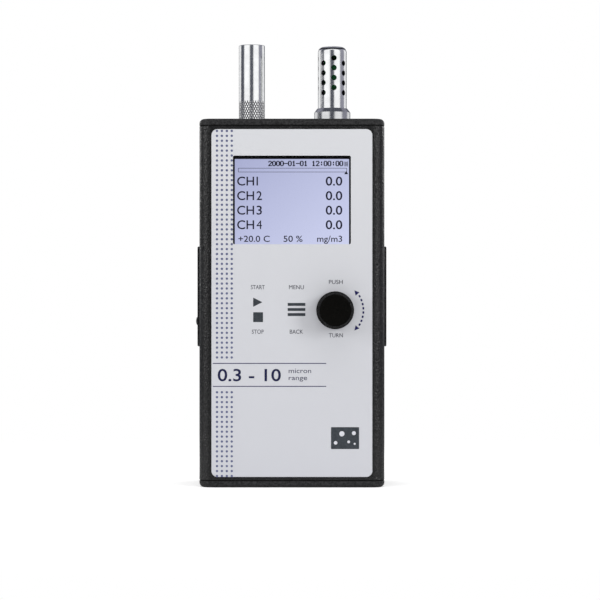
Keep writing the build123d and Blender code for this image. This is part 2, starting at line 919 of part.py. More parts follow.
with BuildPart() as power_button:
    button_length = plate_outer_x + power_stand_out - (power_flange_x - power_flange)
    turn(
        Vector(-(power_flange_x - power_flange), power_y, power_z),
        OUT_LEFT,
        [
            (0, 0),
            (power_radius + power_flange, 0),
            (power_radius + power_flange, power_flange),
            (power_radius, power_flange),
            (power_radius, button_length - power_bevel),
            (power_radius - power_bevel, button_length),
            (0, button_length),
        ],
    )
    with BuildSketch(facing_side(-(power_flange_x - power_flange))):
        with Locations((power_y, power_z)):
            Circle(key_stem_radius)
    extrude(amount=power_flange_x - power_flange - power_switch_x + key_engagement)
save(power_button, "power_button")

with BuildPart() as power_switch:
    block(
        (-power_switch_x, board_back_y, power_z - power_switch_size / 2),
        (
            -power_switch_x + power_switch_size,
            board_back_y + power_switch_size,
            power_z + power_switch_size / 2,
        ),
    )
    with BuildSketch(facing_side(-power_switch_x)):
        with Locations((power_y, power_z)):
            Circle(key_stem_radius + fit_gap)
    extrude(amount=tact_well, mode=Mode.SUBTRACT)
save(power_switch, "power_switch")

with BuildPart() as charger_jack:
    block(
        (-side_x, board_back_y, jack_z - jack_size / 2),
        (-side_x + jack_length, board_back_y + jack_size, jack_z + jack_size / 2),
    )
    with BuildSketch(facing_side(-side_x)):
        with Locations((jack_y, jack_z)):
            Circle(jack_bore_radius)
    extrude(amount=jack_bore_depth, mode=Mode.SUBTRACT)
save(charger_jack, "charger_jack")

with BuildPart() as jack_pin:
    # centre contact, which stands on the floor of the bore a little below the mouth
    with BuildSketch(facing_side(-side_x + jack_bore_depth)):
        with Locations((jack_y, jack_z)):
            Circle(jack_pin_radius)
    extrude(amount=-(jack_bore_depth - jack_pin_recess))
save(jack_pin, "jack_pin")

with BuildPart() as usb_port:
    with BuildSketch(facing_side(side_x)):
        with Locations((port_y, port_z)):
            RectangleRounded(port_height, port_width, port_wall)
    extrude(amount=-port_length)
    with BuildSketch(facing_side(side_x)):
        with Locations((port_y, port_z)):
            Rectangle(port_height - 2 * port_wall, port_width - 2 * port_wall)
            Rectangle(port_tongue, port_width - 4 * port_wall, mode=Mode.SUBTRACT)
    extrude(amount=-port_length + port_wall, mode=Mode.SUBTRACT)
save(usb_port, "usb_port")

# ---------------------------------------------------------------- sampling nozzle and its fitting

nozzle_length = case_height + nozzle_height - nozzle_seat_z
stub_top_z = case_height + stub_height
nozzle_foot = Vector(nozzle_x, 0, nozzle_seat_z)
fitting_foot_z = cap_inner_top - fitting_flange - tail_length

with BuildPart() as inlet_nozzle:
    turn(
        nozzle_foot,
        UPWARD,
        [
            (seal_seat_radius, 0),
            (nozzle_radius - nozzle_edge, 0),
            (nozzle_radius, nozzle_edge),
            (nozzle_radius, nozzle_length - nozzle_edge),
            (nozzle_radius - nozzle_edge, nozzle_length),
            (nozzle_radius - mouth_wall, nozzle_length),
            (air_bore, nozzle_length - mouth_depth),
            (air_bore, socket_depth),
            (stub_radius + running_gap, socket_depth),
            (stub_radius + running_gap, seal_seat_depth),
            (seal_seat_radius, seal_seat_depth),
        ],
    )
save(inlet_nozzle, "inlet_nozzle")

with BuildPart() as nozzle_seal:
    # flat ring in the counterbore of the nozzle, which closes on the cap
    with BuildSketch(at_height(case_height)):
        with Locations((nozzle_x, 0)):
            Circle(seal_seat_radius - running_gap)
            Circle(stub_radius + 2 * running_gap, mode=Mode.SUBTRACT)
    extrude(amount=nozzle_lift + seal_seat_depth)
save(nozzle_seal, "nozzle_seal")

with BuildPart() as inlet_fitting:
    fitting_length = stub_top_z - fitting_foot_z
    turn(
        Vector(nozzle_x, 0, fitting_foot_z),
        UPWARD,
        [
            (air_bore, 0),
            (tail_radius, 0),
            (tail_radius, tail_length),
            (fitting_flange_radius, tail_length),
            (fitting_flange_radius, tail_length + fitting_flange),
            (stub_radius, tail_length + fitting_flange),
            (stub_radius, fitting_length - nozzle_edge),
            (stub_radius - nozzle_edge, fitting_length),
            (air_bore, fitting_length),
        ],
    )
save(inlet_fitting, "inlet_fitting")

# ---------------------------------------------------------------- air sensor

collar_top = probe_collar_height + probe_collar_slope
probe_foot = Vector(probe_x, 0, case_height)
seat_floor = collar_top - probe_seat

with BuildPart() as probe_base:
    turn(
        probe_foot,
        UPWARD,
        [
            (probe_bore, -probe_tail),
            (probe_tail_radius, -probe_tail),
            (probe_tail_radius, 0),
            (probe_collar_radius, 0),
            (probe_collar_radius, probe_collar_height),
            (probe_radius + probe_collar_lip, collar_top),
            (probe_radius + running_gap, collar_top),
            (probe_radius + running_gap, seat_floor),
            (probe_bore, seat_floor),
        ],
    )
save(probe_base, "probe_base")

with BuildPart() as probe_nut:
    with BuildSketch(at_height(cap_inner_top)):
        with Locations((probe_x, 0)):
            RegularPolygon(probe_nut_size / 2, 6, major_radius=False)
            Circle(probe_tail_radius + running_gap, mode=Mode.SUBTRACT)
    extrude(amount=-probe_nut_thickness)
save(probe_nut, "probe_nut")

with BuildPart() as probe_shroud:
    inner_radius = probe_radius - probe_wall
    inner_crown = probe_crown - probe_wall
    with BuildSketch(Plane.XZ.offset(0)):
        with BuildLine():
            bottom_z = case_height + seat_floor
            top_z = case_height + probe_top
            Line((probe_x + inner_radius, bottom_z), (probe_x + probe_radius, bottom_z))
            Line((probe_x + probe_radius, bottom_z), (probe_x + probe_radius, top_z - probe_crown))
            RadiusArc(
                (probe_x + probe_radius, top_z - probe_crown),
                (probe_x + probe_radius - probe_crown, top_z),
                -probe_crown,
            )
            Line((probe_x + probe_radius - probe_crown, top_z), (probe_x, top_z))
            Line((probe_x, top_z), (probe_x, top_z - probe_wall))
            Line(
                (probe_x, top_z - probe_wall),
                (probe_x + inner_radius - inner_crown, top_z - probe_wall),
            )
            RadiusArc(
                (probe_x + inner_radius - inner_crown, top_z - probe_wall),
                (probe_x + inner_radius, top_z - probe_crown),
                inner_crown,
            )
            Line((probe_x + inner_radius, top_z - probe_crown), (probe_x + inner_radius, bottom_z))
        make_face()
    revolve(axis=Axis((probe_x, 0, 0), (0, 0, 1)))
    # staggered columns of holes
    for column in range(probe_columns):
        angle = probe_turn - 90 + column * 360 / probe_columns
        drop = probe_pitch / 2 * (column % 2)
        outward = Vector(cos(radians(angle)), sin(radians(angle)), 0)
        first = probe_foot + Vector(0, 0, probe_first_hole - drop)
        with BuildSketch(Plane(origin=first, x_dir=(0, 0, -1), z_dir=outward)):
            for row in range(probe_rows):
                with Locations((row * probe_pitch, 0)):
                    Circle(probe_hole_radius)
        extrude(amount=probe_radius + probe_wall, mode=Mode.SUBTRACT)
save(probe_shroud, "probe_shroud")

with BuildPart() as sensor_board:
    block(
        (probe_x - sensor_width / 2, -sensor_thickness / 2, case_height - sensor_drop),
        (
            probe_x + sensor_width / 2,
            sensor_thickness / 2,
            case_height - sensor_drop + sensor_length,
        ),
    )
save(sensor_board, "sensor_board")

with BuildPart() as sensor_chip:
    chip_z = case_height - sensor_drop + sensor_length - chip_size
    block(
        (probe_x - chip_size / 2, -sensor_thickness / 2 - chip_thickness, chip_z - chip_size / 2),
        (probe_x + chip_size / 2, -sensor_thickness / 2, chip_z + chip_size / 2),
    )
save(sensor_chip, "sensor_chip")

# ---------------------------------------------------------------- carrier, optical bench and its modules

optics_left = nozzle_x - optics_width / 2
optics_right = nozzle_x + optics_width / 2
barb_top_z = optics_top + barb_length
barb_bottom_z = optics_bottom - barb_length

with BuildPart() as chassis:
    block(
        (-chassis_half_width, chassis_front_y, board_bottom),
        (chassis_half_width, chassis_front_y + chassis_thickness, optics_top),
    )
save(chassis, "chassis")

with BuildPart() as optics_block:
    block(
        (optics_left, optics_front_y, optics_bottom),
        (optics_right, chassis_front_y, optics_top),
    )
    # barbs for the hoses above and below
    with BuildSketch(at_height(optics_top)):
        with Locations((nozzle_x, 0)):
            Circle(tail_radius)
    extrude(amount=barb_length)
    with BuildSketch(at_height(optics_bottom)):
        with Locations((nozzle_x, 0)):
            Circle(pump_barb_radius)
    extrude(amount=-barb_length)
    # air path from top to bottom
    with BuildSketch(at_height(barb_bottom_z)):
        with Locations((nozzle_x, 0)):
            Circle(outlet_bore)
    extrude(amount=barb_top_z - barb_bottom_z, mode=Mode.SUBTRACT)
    # bores for the laser, the light trap and the detector, which meet at the air path
    with BuildSketch(facing_side(optics_right)):
        with Locations((0, optics_z)):
            Circle(laser_radius + running_gap)
    extrude(amount=-laser_engagement, mode=Mode.SUBTRACT)
    with BuildSketch(facing_side(optics_left)):
        with Locations((0, optics_z)):
            Circle(laser_radius + running_gap)
    extrude(amount=trap_length, mode=Mode.SUBTRACT)
    with BuildSketch(facing_side(optics_left)):
        with Locations((0, optics_z)):
            Circle(beam_radius)
    extrude(amount=optics_width, mode=Mode.SUBTRACT)
    with BuildSketch(facing_front(optics_front_y)):
        with Locations((nozzle_x, optics_z)):
            Circle(detector_bore / 2)
    extrude(amount=optics_front_y, mode=Mode.SUBTRACT)
save(optics_block, "optics_block")

with BuildPart() as laser_module:
    turn(
        Vector(optics_right - laser_engagement, 0, optics_z),
        OUT_RIGHT,
        [
            (beam_radius, 0),
            (laser_radius, 0),
            (laser_radius, laser_length),
            (0, laser_length),
            (0, laser_engagement / 2),
            (beam_radius, laser_engagement / 2),
        ],
    )
save(laser_module, "laser_module")

with BuildPart() as light_trap:
    turn(
        Vector(optics_left + trap_length, 0, optics_z),
        OUT_LEFT,
        [
            (beam_radius, 0),
            (laser_radius, 0),
            (laser_radius, trap_length),
            (trap_flange_radius, trap_length),
            (trap_flange_radius, trap_length + trap_flange),
            (0, trap_length + trap_flange),
            (0, trap_length - beam_radius),
        ],
    )
save(light_trap, "light_trap")

with BuildPart() as detector_board:
    block(
        (
            nozzle_x - detector_width / 2,
            optics_front_y - board_thickness,
            optics_z - detector_height / 2,
        ),
        (nozzle_x + detector_width / 2, optics_front_y, optics_z + detector_height / 2),
    )
    with BuildSketch(facing_front(optics_front_y)):
        with Locations((nozzle_x, optics_z)):
            Circle(detector_bore / 2 - fit_gap)
    extrude(amount=-detector_reach)
save(detector_board, "detector_board")

# ---------------------------------------------------------------- pump, hoses and exhaust filter

pump_left = nozzle_x - pump_size / 2
pump_front = pump_y - pump_size / 2
hose_gap = running_gap


def straight_hose(start, end, inner):
    """Straight hose between two points on one axis; inner is the radius of the barbs that it fits."""
    along = end - start
    with BuildSketch(Plane(origin=start, z_dir=along.normalized())) as ring:
        Circle(inner + hose_gap + hose_wall)
        Circle(inner + hose_gap, mode=Mode.SUBTRACT)
    extrude(ring.sketch, amount=along.length)


with BuildPart() as inlet_hose:
    straight_hose(
        Vector(nozzle_x, 0, cap_inner_top - fitting_flange), Vector(nozzle_x, 0, optics_top), tail_radius
    )
save(inlet_hose, "inlet_hose")

with BuildPart() as outlet_hose:
    straight_hose(Vector(nozzle_x, 0, optics_bottom), Vector(nozzle_x, 0, pump_top), pump_barb_radius)
save(outlet_hose, "outlet_hose")

with BuildPart() as pump_head:
    block(
        (pump_left, pump_front, pump_head_z),
        (pump_outlet_x, pump_front + pump_size, pump_top),
    )
    fillet(pump_head.edges().filter_by(Axis.Z), pump_corner)
    with BuildSketch(at_height(pump_top)):
        with Locations((nozzle_x, 0)):
            Circle(pump_barb_radius)
    extrude(amount=barb_length)
    with BuildSketch(facing_side(pump_outlet_x)):
        with Locations((pump_y, pump_outlet_z)):
            Circle(pump_barb_radius)
    extrude(amount=barb_length)
save(pump_head, "pump_head")

with BuildPart() as pump_motor:
    turn(
        Vector(nozzle_x, pump_y, pump_head_z),
        DOWNWARD,
        [
            (0, 0),
            (motor_radius, 0),
            (motor_radius, motor_length - motor_bearing),
            (motor_radius / 3, motor_length - motor_bearing),
            (motor_radius / 3, motor_length),
            (0, motor_length),
        ],
    )
save(pump_motor, "pump_motor")


def saddle(plane, radius, length):
    """Strap round a cylinder with a foot on the carrier; plane is across its axis, with +Y upward in it."""
    with BuildSketch(plane) as strap:
        Circle(radius + running_gap + clamp_wall)
        foot_length = chassis_front_y - pump_y
        with Locations((0, foot_length / 2)):
            Rectangle(2 * clamp_foot, foot_length)
        Circle(radius + running_gap, mode=Mode.SUBTRACT)
    extrude(strap.sketch, amount=length / 2, both=True)


with BuildPart() as pump_clamp:
    saddle(
        Plane(
            origin=(nozzle_x, pump_y, pump_head_z - motor_length / 2), x_dir=(1, 0, 0), z_dir=(0, 0, 1)
        ),
        motor_radius,
        clamp_width,
    )
save(pump_clamp, "pump_clamp")

with BuildPart() as filter_clip:
    saddle(
        Plane(
            origin=(filter_x + filter_length / 2, pump_y, pump_outlet_z),
            x_dir=(0, 0, -1),
            z_dir=(1, 0, 0),
        ),
        filter_radius,
        clamp_width,
    )
save(filter_clip, "filter_clip")

with BuildPart() as exhaust_hose:
    straight_hose(
        Vector(pump_outlet_x, pump_y, pump_outlet_z),
        Vector(filter_x, pump_y, pump_outlet_z),
        pump_barb_radius,
    )
save(exhaust_hose, "exhaust_hose")

with BuildPart() as exhaust_filter:
    turn(
        Vector(filter_x, pump_y, pump_outlet_z),
        OUT_RIGHT,
        [
            (0, -barb_length),
            (pump_barb_radius, -barb_length),
            (pump_barb_radius, 0),
            (filter_radius, 0),
            (filter_radius, filter_length),
            (pump_barb_radius, filter_length),
            (pump_barb_radius, filter_length + barb_length),
            (0, filter_length + barb_length),
        ],
    )
save(exhaust_filter, "exhaust_filter")

# ---------------------------------------------------------------- battery

cell_row = (cell_count - 1) * cell_pitch + 2 * cell_radius
cradle_top_z = pump_head_z - motor_length - cradle_headroom
cell_length = cradle_top_z - cradle_wall - fit_gap - cell_bottom
cradle_bottom_z = cell_bottom - fit_gap - cradle_wall
cradle_back_y = chassis_front_y

with BuildPart() as battery_cells:
    with BuildSketch(at_height(cell_bottom)):
        with Locations((0, cell_y)):
            with GridLocations(cell_pitch, 0, cell_count, 1):
                Circle(cell_radius)
    extrude(amount=cell_length)
save(battery_cells, "battery_cells")

with BuildPart() as battery_cradle:
    block(
        (-cell_row / 2 - fit_gap - cradle_wall, cradle_back_y - cradle_height, cradle_bottom_z),
        (cell_row / 2 + fit_gap + cradle_wall, cradle_back_y, cradle_top_z),
    )
    block(
        (
            -cell_row / 2 - fit_gap,
            cradle_back_y - cradle_height,
            cradle_bottom_z + cradle_wall,
        ),
        (cell_row / 2 + fit_gap, cradle_back_y - cradle_floor, cradle_top_z - cradle_wall),
        mode=Mode.SUBTRACT,
    )
save(battery_cradle, "battery_cradle")
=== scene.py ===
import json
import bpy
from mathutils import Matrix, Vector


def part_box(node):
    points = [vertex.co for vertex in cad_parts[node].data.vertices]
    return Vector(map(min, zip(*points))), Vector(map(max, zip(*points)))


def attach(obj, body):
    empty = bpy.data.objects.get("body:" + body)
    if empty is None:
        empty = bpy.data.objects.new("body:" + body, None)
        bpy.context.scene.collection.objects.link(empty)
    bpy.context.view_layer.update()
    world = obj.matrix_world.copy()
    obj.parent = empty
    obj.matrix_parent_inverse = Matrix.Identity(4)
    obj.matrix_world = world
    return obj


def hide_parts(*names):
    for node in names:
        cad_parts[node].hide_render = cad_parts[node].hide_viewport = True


bl_info = {
    "name": "Airborne particle counter",
    "version": (1, 0, 0),
    "blender": (4, 5, 0),
    "location": "3D View > Sidebar > Counter",
    "description": "Dresses the packed model of a hand-held airborne particle counter",
    "category": "Add Mesh",
}

from math import pi, radians

import bmesh
import bpy
import numpy as np
from bpy.props import FloatProperty, FloatVectorProperty, IntProperty, PointerProperty
from mathutils import Vector

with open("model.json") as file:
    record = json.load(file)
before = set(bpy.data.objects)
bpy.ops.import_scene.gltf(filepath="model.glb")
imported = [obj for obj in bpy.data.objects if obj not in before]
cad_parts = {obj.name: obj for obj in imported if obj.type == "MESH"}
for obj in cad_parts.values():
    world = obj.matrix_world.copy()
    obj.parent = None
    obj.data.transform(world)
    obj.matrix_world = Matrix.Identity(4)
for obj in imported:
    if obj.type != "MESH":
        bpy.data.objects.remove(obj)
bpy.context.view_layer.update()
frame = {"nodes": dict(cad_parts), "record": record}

MM = 0.001
FRONT = np.array((0.0, -1.0, 0.0))
UP = np.array((0.0, 0.0, 1.0))
RIGHT = np.array((1.0, 0.0, 0.0))
CASE = "case"


def span(node):
    """Lowest and highest corner of a CAD node as two arrays, in metres."""
    low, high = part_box(node)
    return np.array(low), np.array(high)


def span_mm(node):
    """The same two corners in millimetres."""
    return [corner / MM for corner in span(node)]


# ---------------------------------------------------------------- colours and materials


def linear(hex_colour):
    """sRGB hex such as "D8D9DE" to linear RGBA: each channel by the two-part sRGB curve."""
    channels = np.array([int(hex_colour[i : i + 2], 16) for i in (0, 2, 4)]) / 255
    curve = np.where(channels <= 0.04045, channels / 12.92, ((channels + 0.055) / 1.055) ** 2.4)
    return (*curve.tolist(), 1.0)


def add_node(tree, kind, links=None, settings=None, stops=(), **attributes):
    """Adds a node with its attributes, socket values (settings), incoming links and colour stops."""
    made = tree.nodes.new(kind)
    for name, value in attributes.items():
        setattr(made, name, value)
    for socket, value in (settings or {}).items():
        made.inputs[socket].default_value = value
    for socket, source in (links or {}).items():
        tree.links.new(source, made.inputs[socket])
    for number, (position, hex_colour) in enumerate(stops):
        stop = made.color_ramp.elements[number]
        stop.position, stop.color = position, linear(hex_colour)
    return made


def new_material(name, **shader):
    """A material with one Principled shader: returns it, its tree, the shader and Object coordinates."""
    made = bpy.data.materials.new(name)
    made.use_nodes = True
    tree = made.node_tree
    principled = tree.nodes["Principled BSDF"]
    for socket, value in shader.items():
        principled.inputs[socket.replace("_", " ")].default_value = value
    place = add_node(tree, "ShaderNodeTexCoord").outputs["Object"]
    return made, tree, principled, place


def feed(tree, principled, **outputs):
    """Links outputs to the shader's inputs, named with _ for a space."""
    for socket, output in outputs.items():
        tree.links.new(output, principled.inputs[socket.replace("_", " ")])


def grains(grain_mm, detail=3.0):
    """Values that give noise grains of a real size."""
    return {"Scale": 1 / (grain_mm * MM), "Detail": detail}


def mottled(tree, place, grain_mm, dark, light):
    """Colour that wanders between two hex colours in patches of a real size."""
    noise = add_node(tree, "ShaderNodeTexNoise", {"Vector": place}, grains(grain_mm))
    stops = ((0.35, dark), (0.65, light))
    ramp = add_node(tree, "ShaderNodeValToRGB", {"Fac": noise.outputs["Fac"]}, stops=stops)
    return ramp.outputs["Color"]


def grain_bump(tree, place, grain_mm, depth_mm, strength=1.0, detail=2.0, normal=None):
    """Bump from noise whose grains have a real size and depth, on top of another bump if given."""
    noise = add_node(tree, "ShaderNodeTexNoise", {"Vector": place}, grains(grain_mm, detail))
    links = {"Height": noise.outputs["Fac"]}
    if normal is not None:
        links["Normal"] = normal
    depth = {"Strength": strength, "Distance": depth_mm * MM}
    return add_node(tree, "ShaderNodeBump", links, depth).outputs["Normal"]


def roughness_by_noise(tree, place, grain_mm, low, high):
    """Roughness that wanders between two values in patches of a real size."""
    noise = add_node(tree, "ShaderNodeTexNoise", {"Vector": place}, grains(grain_mm))
    limits = {"From Min": 0.3, "From Max": 0.7, "To Min": low, "To Max": high}
    gloss = add_node(tree, "ShaderNodeMapRange", {"Value": noise.outputs["Fac"]}, limits)
    return gloss.outputs["Result"]


def surface(
    name, dark, light, roughness, metallic=0.0, patch_mm=6.0, grain_mm=0.4, depth_mm=0.01, **shader
):
    """A finish made of two close colours in patches, a fine bump and uneven gloss."""
    made, tree, principled, place = new_material(name, Metallic=metallic, **shader)
    feed(
        tree,
        principled,
        Base_Color=mottled(tree, place, patch_mm, dark, light),
        Roughness=roughness_by_noise(tree, place, patch_mm * 0.6, roughness - 0.05, roughness + 0.05),
        Normal=grain_bump(tree, place, grain_mm, depth_mm),
    )
    return made


def powder_coated_aluminium(name, dark, light, grain_depth_mm, sheen, rough):
    """Baked powder: a pebbled grain of 0.75 mm that breaks up its sheen, with a finer one on it."""
    made, tree, principled, place = new_material(name, Specular_IOR_Level=sheen)
    pebbles = grain_bump(tree, place, 0.75, grain_depth_mm, 1.0, 1.0)
    feed(
        tree,
        principled,
        Base_Color=mottled(tree, place, 1.0, dark, light),
        Roughness=roughness_by_noise(tree, place, 0.5, rough, rough + 0.15),
        Normal=grain_bump(tree, place, 0.5, grain_depth_mm / 4, 1.0, 2.0, pebbles),
    )
    return made


def polyester_film():
    """Printed overlay: velvet-finish polyester, a cool pale grey with painted shade: darker towards its
    foot and paler towards its top, where more light falls.
    """
    made, tree, principled, place = new_material("velvet_polyester_film_painted_shade", Roughness=0.42)
    low, high = span("front_overlay")
    height = add_node(tree, "ShaderNodeSeparateXYZ", {"Vector": place}).outputs["Z"]
    limits = {"From Min": float(low[2]), "From Max": float(high[2])}
    fraction = add_node(tree, "ShaderNodeMapRange", {"Value": height}, limits).outputs["Result"]
    # painted shade: the colour runs from darker at the film's foot to paler at its top, for the light
    # that falls from above
    stops = ((0.0, "C3C4CA"), (1.0, "D3D4D8"))
    shade = add_node(tree, "ShaderNodeValToRGB", {"Fac": fraction}, stops=stops).outputs["Color"]
    feed(tree, principled, Base_Color=shade, Normal=grain_bump(tree, place, 0.12, 0.004, 0.5))
    return made


def clear_window():
    """Hard-coated polycarbonate lens: clear, so the display shows through it, with a smooth face."""
    made, tree, principled, place = new_material(
        "hard_coated_polycarbonate", Roughness=0.04, IOR=1.45, Alpha=0.03
    )
    feed(tree, principled, Base_Color=mottled(tree, place, 20.0, "08080A", "101013"))
    return made


def backlit_glass():
    """Liquid crystal glass lit from behind: lavender, paler towards the lower right where the lamp is."""
    # the glow is what is seen; the glass itself is dark
    made, tree, principled, place = new_material(
        "backlit_liquid_crystal_glass", Roughness=0.3, Base_Color=linear("15151E"), Emission_Strength=1.0
    )
    low, high = span("lcd_panel")
    across, tall = (high - low)[[0, 2]]
    slope = {1: (float(0.5 / across), 0.0, float(-0.5 / tall))}
    slant = add_node(tree, "ShaderNodeVectorMath", {0: place}, slope, operation="DOT_PRODUCT")
    middle = -0.25 * float(low[2] + high[2]) / float(tall)
    limits = {"From Min": middle - 0.5, "From Max": middle + 0.5}
    fraction = add_node(tree, "ShaderNodeMapRange", {"Value": slant.outputs["Value"]}, limits)
    stops = ((0.0, "AAAFD3"), (1.0, "D2D7F5"))
    glow = add_node(tree, "ShaderNodeValToRGB", {"Fac": fraction.outputs["Result"]}, stops=stops)
    feed(tree, principled, Emission_Color=glow.outputs["Color"])
    return made


def ink(name, dark, light):
    """Screen-printed ink with a faintly uneven coat."""
    return surface(
        name, dark, light, 0.45, patch_mm=1.5, grain_mm=0.1, depth_mm=0.002, Specular_IOR_Level=0.25
    )


def turned_metal(name, dark, light, roughness):
    """Turned metal standing on its axis: fine tool rings one above another, and a soft uneven polish."""
    ring_mm, ring_depth_mm = 0.12, 0.0005
    made, tree, principled, place = new_material(name, Metallic=1.0)
    height = add_node(tree, "ShaderNodeSeparateXYZ", {"Vector": place}).outputs["Z"]
    spacing = {"Scale": 1 / (ring_mm * MM)}
    rings = add_node(tree, "ShaderNodeTexNoise", {"W": height}, spacing, noise_dimensions="1D")
    depth = {"Strength": 0.6, "Distance": ring_depth_mm * MM}
    bump = add_node(tree, "ShaderNodeBump", {"Height": rings.outputs["Fac"]}, depth)
    feed(
        tree,
        principled,
        Base_Color=mottled(tree, place, 4.0, dark, light),
        Roughness=roughness_by_noise(tree, place, 3.0, roughness - 0.02, roughness + 0.02),
        Normal=bump.outputs["Normal"],
    )
    return made


FINISHES = {}


def build_finishes():
    """Every finish by the record's slot, and the inks and special surfaces by their own names."""
    made = {
        # the case is cast and extruded aluminium under a black powder coat
        "case_black": powder_coated_aluminium(
            "powder_coated_housing", "020203", "0F0F10", 0.32, 0.33, 0.25
        ),
        # the end caps have the same coat with a flatter grain; their colour is painted lighter and
        # greyer, a painted highlight for the light their rounded edges catch
        "cap_black": powder_coated_aluminium("powder_coated_caps_painted_highlight", "202021", "373738", 0.12, 0.08, 0.4),
        # nitrile rubber, cut from sheet: dull and dark
        "gasket_rubber": surface("nitrile_rubber", "0A0A0A", "111111", 0.8, Specular_IOR_Level=0.1),
        "overlay_film": polyester_film(),
        "window": clear_window(),
        "display_glass": backlit_glass(),
        # diffuser of moulded acrylic, milky
        "backlight_white": surface("opal_acrylic", "E8EAEE", "F4F5F8", 0.4),
        # injection moulded ABS, black with a light grain
        "black_plastic": surface("moulded_black_ABS", "050505", "0C0C0D", 0.5, Specular_IOR_Level=0.12),
        # natural moulded acetal of the key plungers
        "key_plastic": surface("moulded_acetal", "9A9A98", "A8A8A6", 0.4),
        # the dial is moulded in ABS with a spark-eroded grain that scatters the light on its grip
        "dial_black": surface(
            "spark_grained_ABS", "050504", "0C0B09", 0.6, 0.0, 0.8, 0.3, 0.02, Specular_IOR_Level=0.03
        ),
        "dial_metal": turned_metal("nickel_plated_steel", "B9B8B4", "CBCAC6", 0.22),
        "rotor_plastic": surface("moulded_nylon", "C9C7BA", "D8D6C9", 0.5),
        # solder mask over glass-epoxy: green and slightly glossy
        "board_green": surface("green_solder_mask", "0E5A2C", "17713A", 0.35, patch_mm=2.0),
        "polished_aluminium": turned_metal("polished_aluminium", "DDDEDF", "E9EAEB", 0.16),
        "plain_aluminium": surface("milled_aluminium", "B4B5B8", "C8C9CC", 0.35, 1.0, 3.0, 0.3, 0.004),
        "brass": turned_metal("turned_brass", "B5945A", "CBAA6C", 0.25),
        # black oxide on steel: dark, with a dull metal sheen
        "screw_black": surface("black_oxide_steel", "18181A", "29292C", 0.38, 0.8, 1.0, 0.2, 0.004),
        "screw_steel": surface("zinc_plated_steel", "A9ABAE", "C2C4C7", 0.3, 1.0, 1.5, 0.2, 0.003),
        "pump_plastic": surface("glass_filled_nylon", "151517", "222225", 0.55),
        "motor_steel": surface("nickel_plated_can", "A6A6A4", "BDBDBA", 0.28, 1.0),
        "hose_silicone": surface("silicone_rubber", "BDBDB6", "CFCFC8", 0.45),
        "filter_white": surface("moulded_polypropylene", "D5D6D6", "E4E5E5", 0.45),
        "cell_sleeve": surface("shrink_sleeve", "1B3F8A", "2450A5", 0.3),
        "dot_ink": ink("slate_blue_ink", "565B7C", "626786"),
        "line_ink": ink("violet_ink", "17164A", "222158"),
        "legend_ink": ink("dark_grey_ink", "262934", "303340"),
        "icon_ink": ink("slate_ink", "30353A", "3B4046"),
        "name_ink": ink("navy_ink", "12143A", "1B1E48"),
        "display_ink": ink("switched_liquid_crystal", "101026", "181832"),
        "speck_ink": ink("pale_grey_ink", "C9CAD1", "D4D5DB"),
        # the rolled knurl scatters the light, so its points glint and its grooves stay grey
        "knurled": turned_metal("rolled_knurl_aluminium", "EAEAEB", "F3F3F3", 0.16),
        # little light gets down between the points, so the grooves stay dark grey
        "knurl_grooves": turned_metal("knurl_groove_aluminium", "707174", "7C7D80", 0.35),
        # the collar is turned and not polished, so it stays greyer
        "sensor_collar": turned_metal("turned_aluminium", "C9CACC", "D6D7D9", 0.2),
        # the bore of the tube, left as drilled: dark in its own shade
        "sensor_inside": surface("drilled_aluminium", "1C1D20", "2E2F33", 0.5, 0.6, 2.0, 0.3, 0.01),
    }
    FINISHES.update(made)


# ---------------------------------------------------------------- shapes


def grid_faces(rows, columns, wrap_rows=False):
    """Quads between neighbouring points of rows of columns; each row closes, and the rows if wrapped."""
    i = np.arange(rows if wrap_rows else rows - 1)[:, None]
    j = np.arange(columns)[None, :]
    right, up = (j + 1) % columns, (i + 1) % rows
    corners = (i * columns + j, i * columns + right, up * columns + right, up * columns + j)
    return np.stack([np.broadcast_to(c, (i.size, columns)).ravel() for c in corners], 1)


def revolved(outline, foot, axis, radial, turns, closed=False, inward=0.0):
    """Surface of revolution of an outline of (r, h): foot + r (cos a radial + sin a across) + h axis.

    Points on the axis close a pole, and a closed outline makes a ring. The depth inward, one for each
    point and angle, is taken off r.
    """
    outline = np.array(outline, float)
    angle = turn_angles(turns)
    across = np.cross(axis, radial)
    ring = np.cos(angle)[:, None] * radial + np.sin(angle)[:, None] * across
    reach = (outline[:, :1] - inward)[..., None]
    points = np.array(foot) + reach * ring + outline[:, 1, None, None] * np.array(axis)
    return points.reshape(-1, 3), grid_faces(len(outline), turns, closed)


def turn_angles(turns):
    """Even angles once round."""
    return np.linspace(0, 2 * pi, turns, endpoint=False)


def arc(centre, radius, start, end, steps):
    """Points on an arc, angles in degrees."""
    angle = np.radians(np.linspace(start, end, steps + 1))
    return np.column_stack([centre[0] + radius * np.cos(angle), centre[1] + radius * np.sin(angle)])


def rounded_outline(half_width, half_height, radius, steps=10):
    """Rectangle with round corners, anticlockwise: four quarter arcs joined by straight sides."""
    reach = ((1, 1), (-1, 1), (-1, -1), (1, -1))
    corners = [
        arc(
            (sx * (half_width - radius), sy * (half_height - radius)),
            radius,
            90 * quarter,
            90 * quarter + 90,
            steps,
        )
        for quarter, (sx, sy) in enumerate(reach)
    ]
    return np.vstack(corners)


def stacked(rings):
    """Skin over rings of equally many points, given from one end to the other, with flat ends."""
    rings = np.array(rings)
    count = rings.shape[1]
    faces = grid_faces(len(rings), count).tolist()
    faces.append(list(range(count))[::-1])
    faces.append(list(range((len(rings) - 1) * count, len(rings) * count)))
    return rings.reshape(-1, 3), faces


def slab(half_width, half_depth, radius, levels, steps):
    """Rounded rectangle carried up: at each (inset, height) the outline shrinks by the inset."""
    rings = []
    for inset, height in levels:
        outline = rounded_outline(half_width - inset, half_depth - inset, radius - inset, steps)
        rings.append(np.column_stack([outline, np.full(len(outline), height)]))
    return stacked(rings)


def prism(outline, depths):
    """Flat shape on the front face: an outline of (x, z) points between a front and a back depth."""
    x, z = np.array(outline, float).T
    return stacked([np.column_stack([x, np.full(len(x), y), z]) for y in depths])


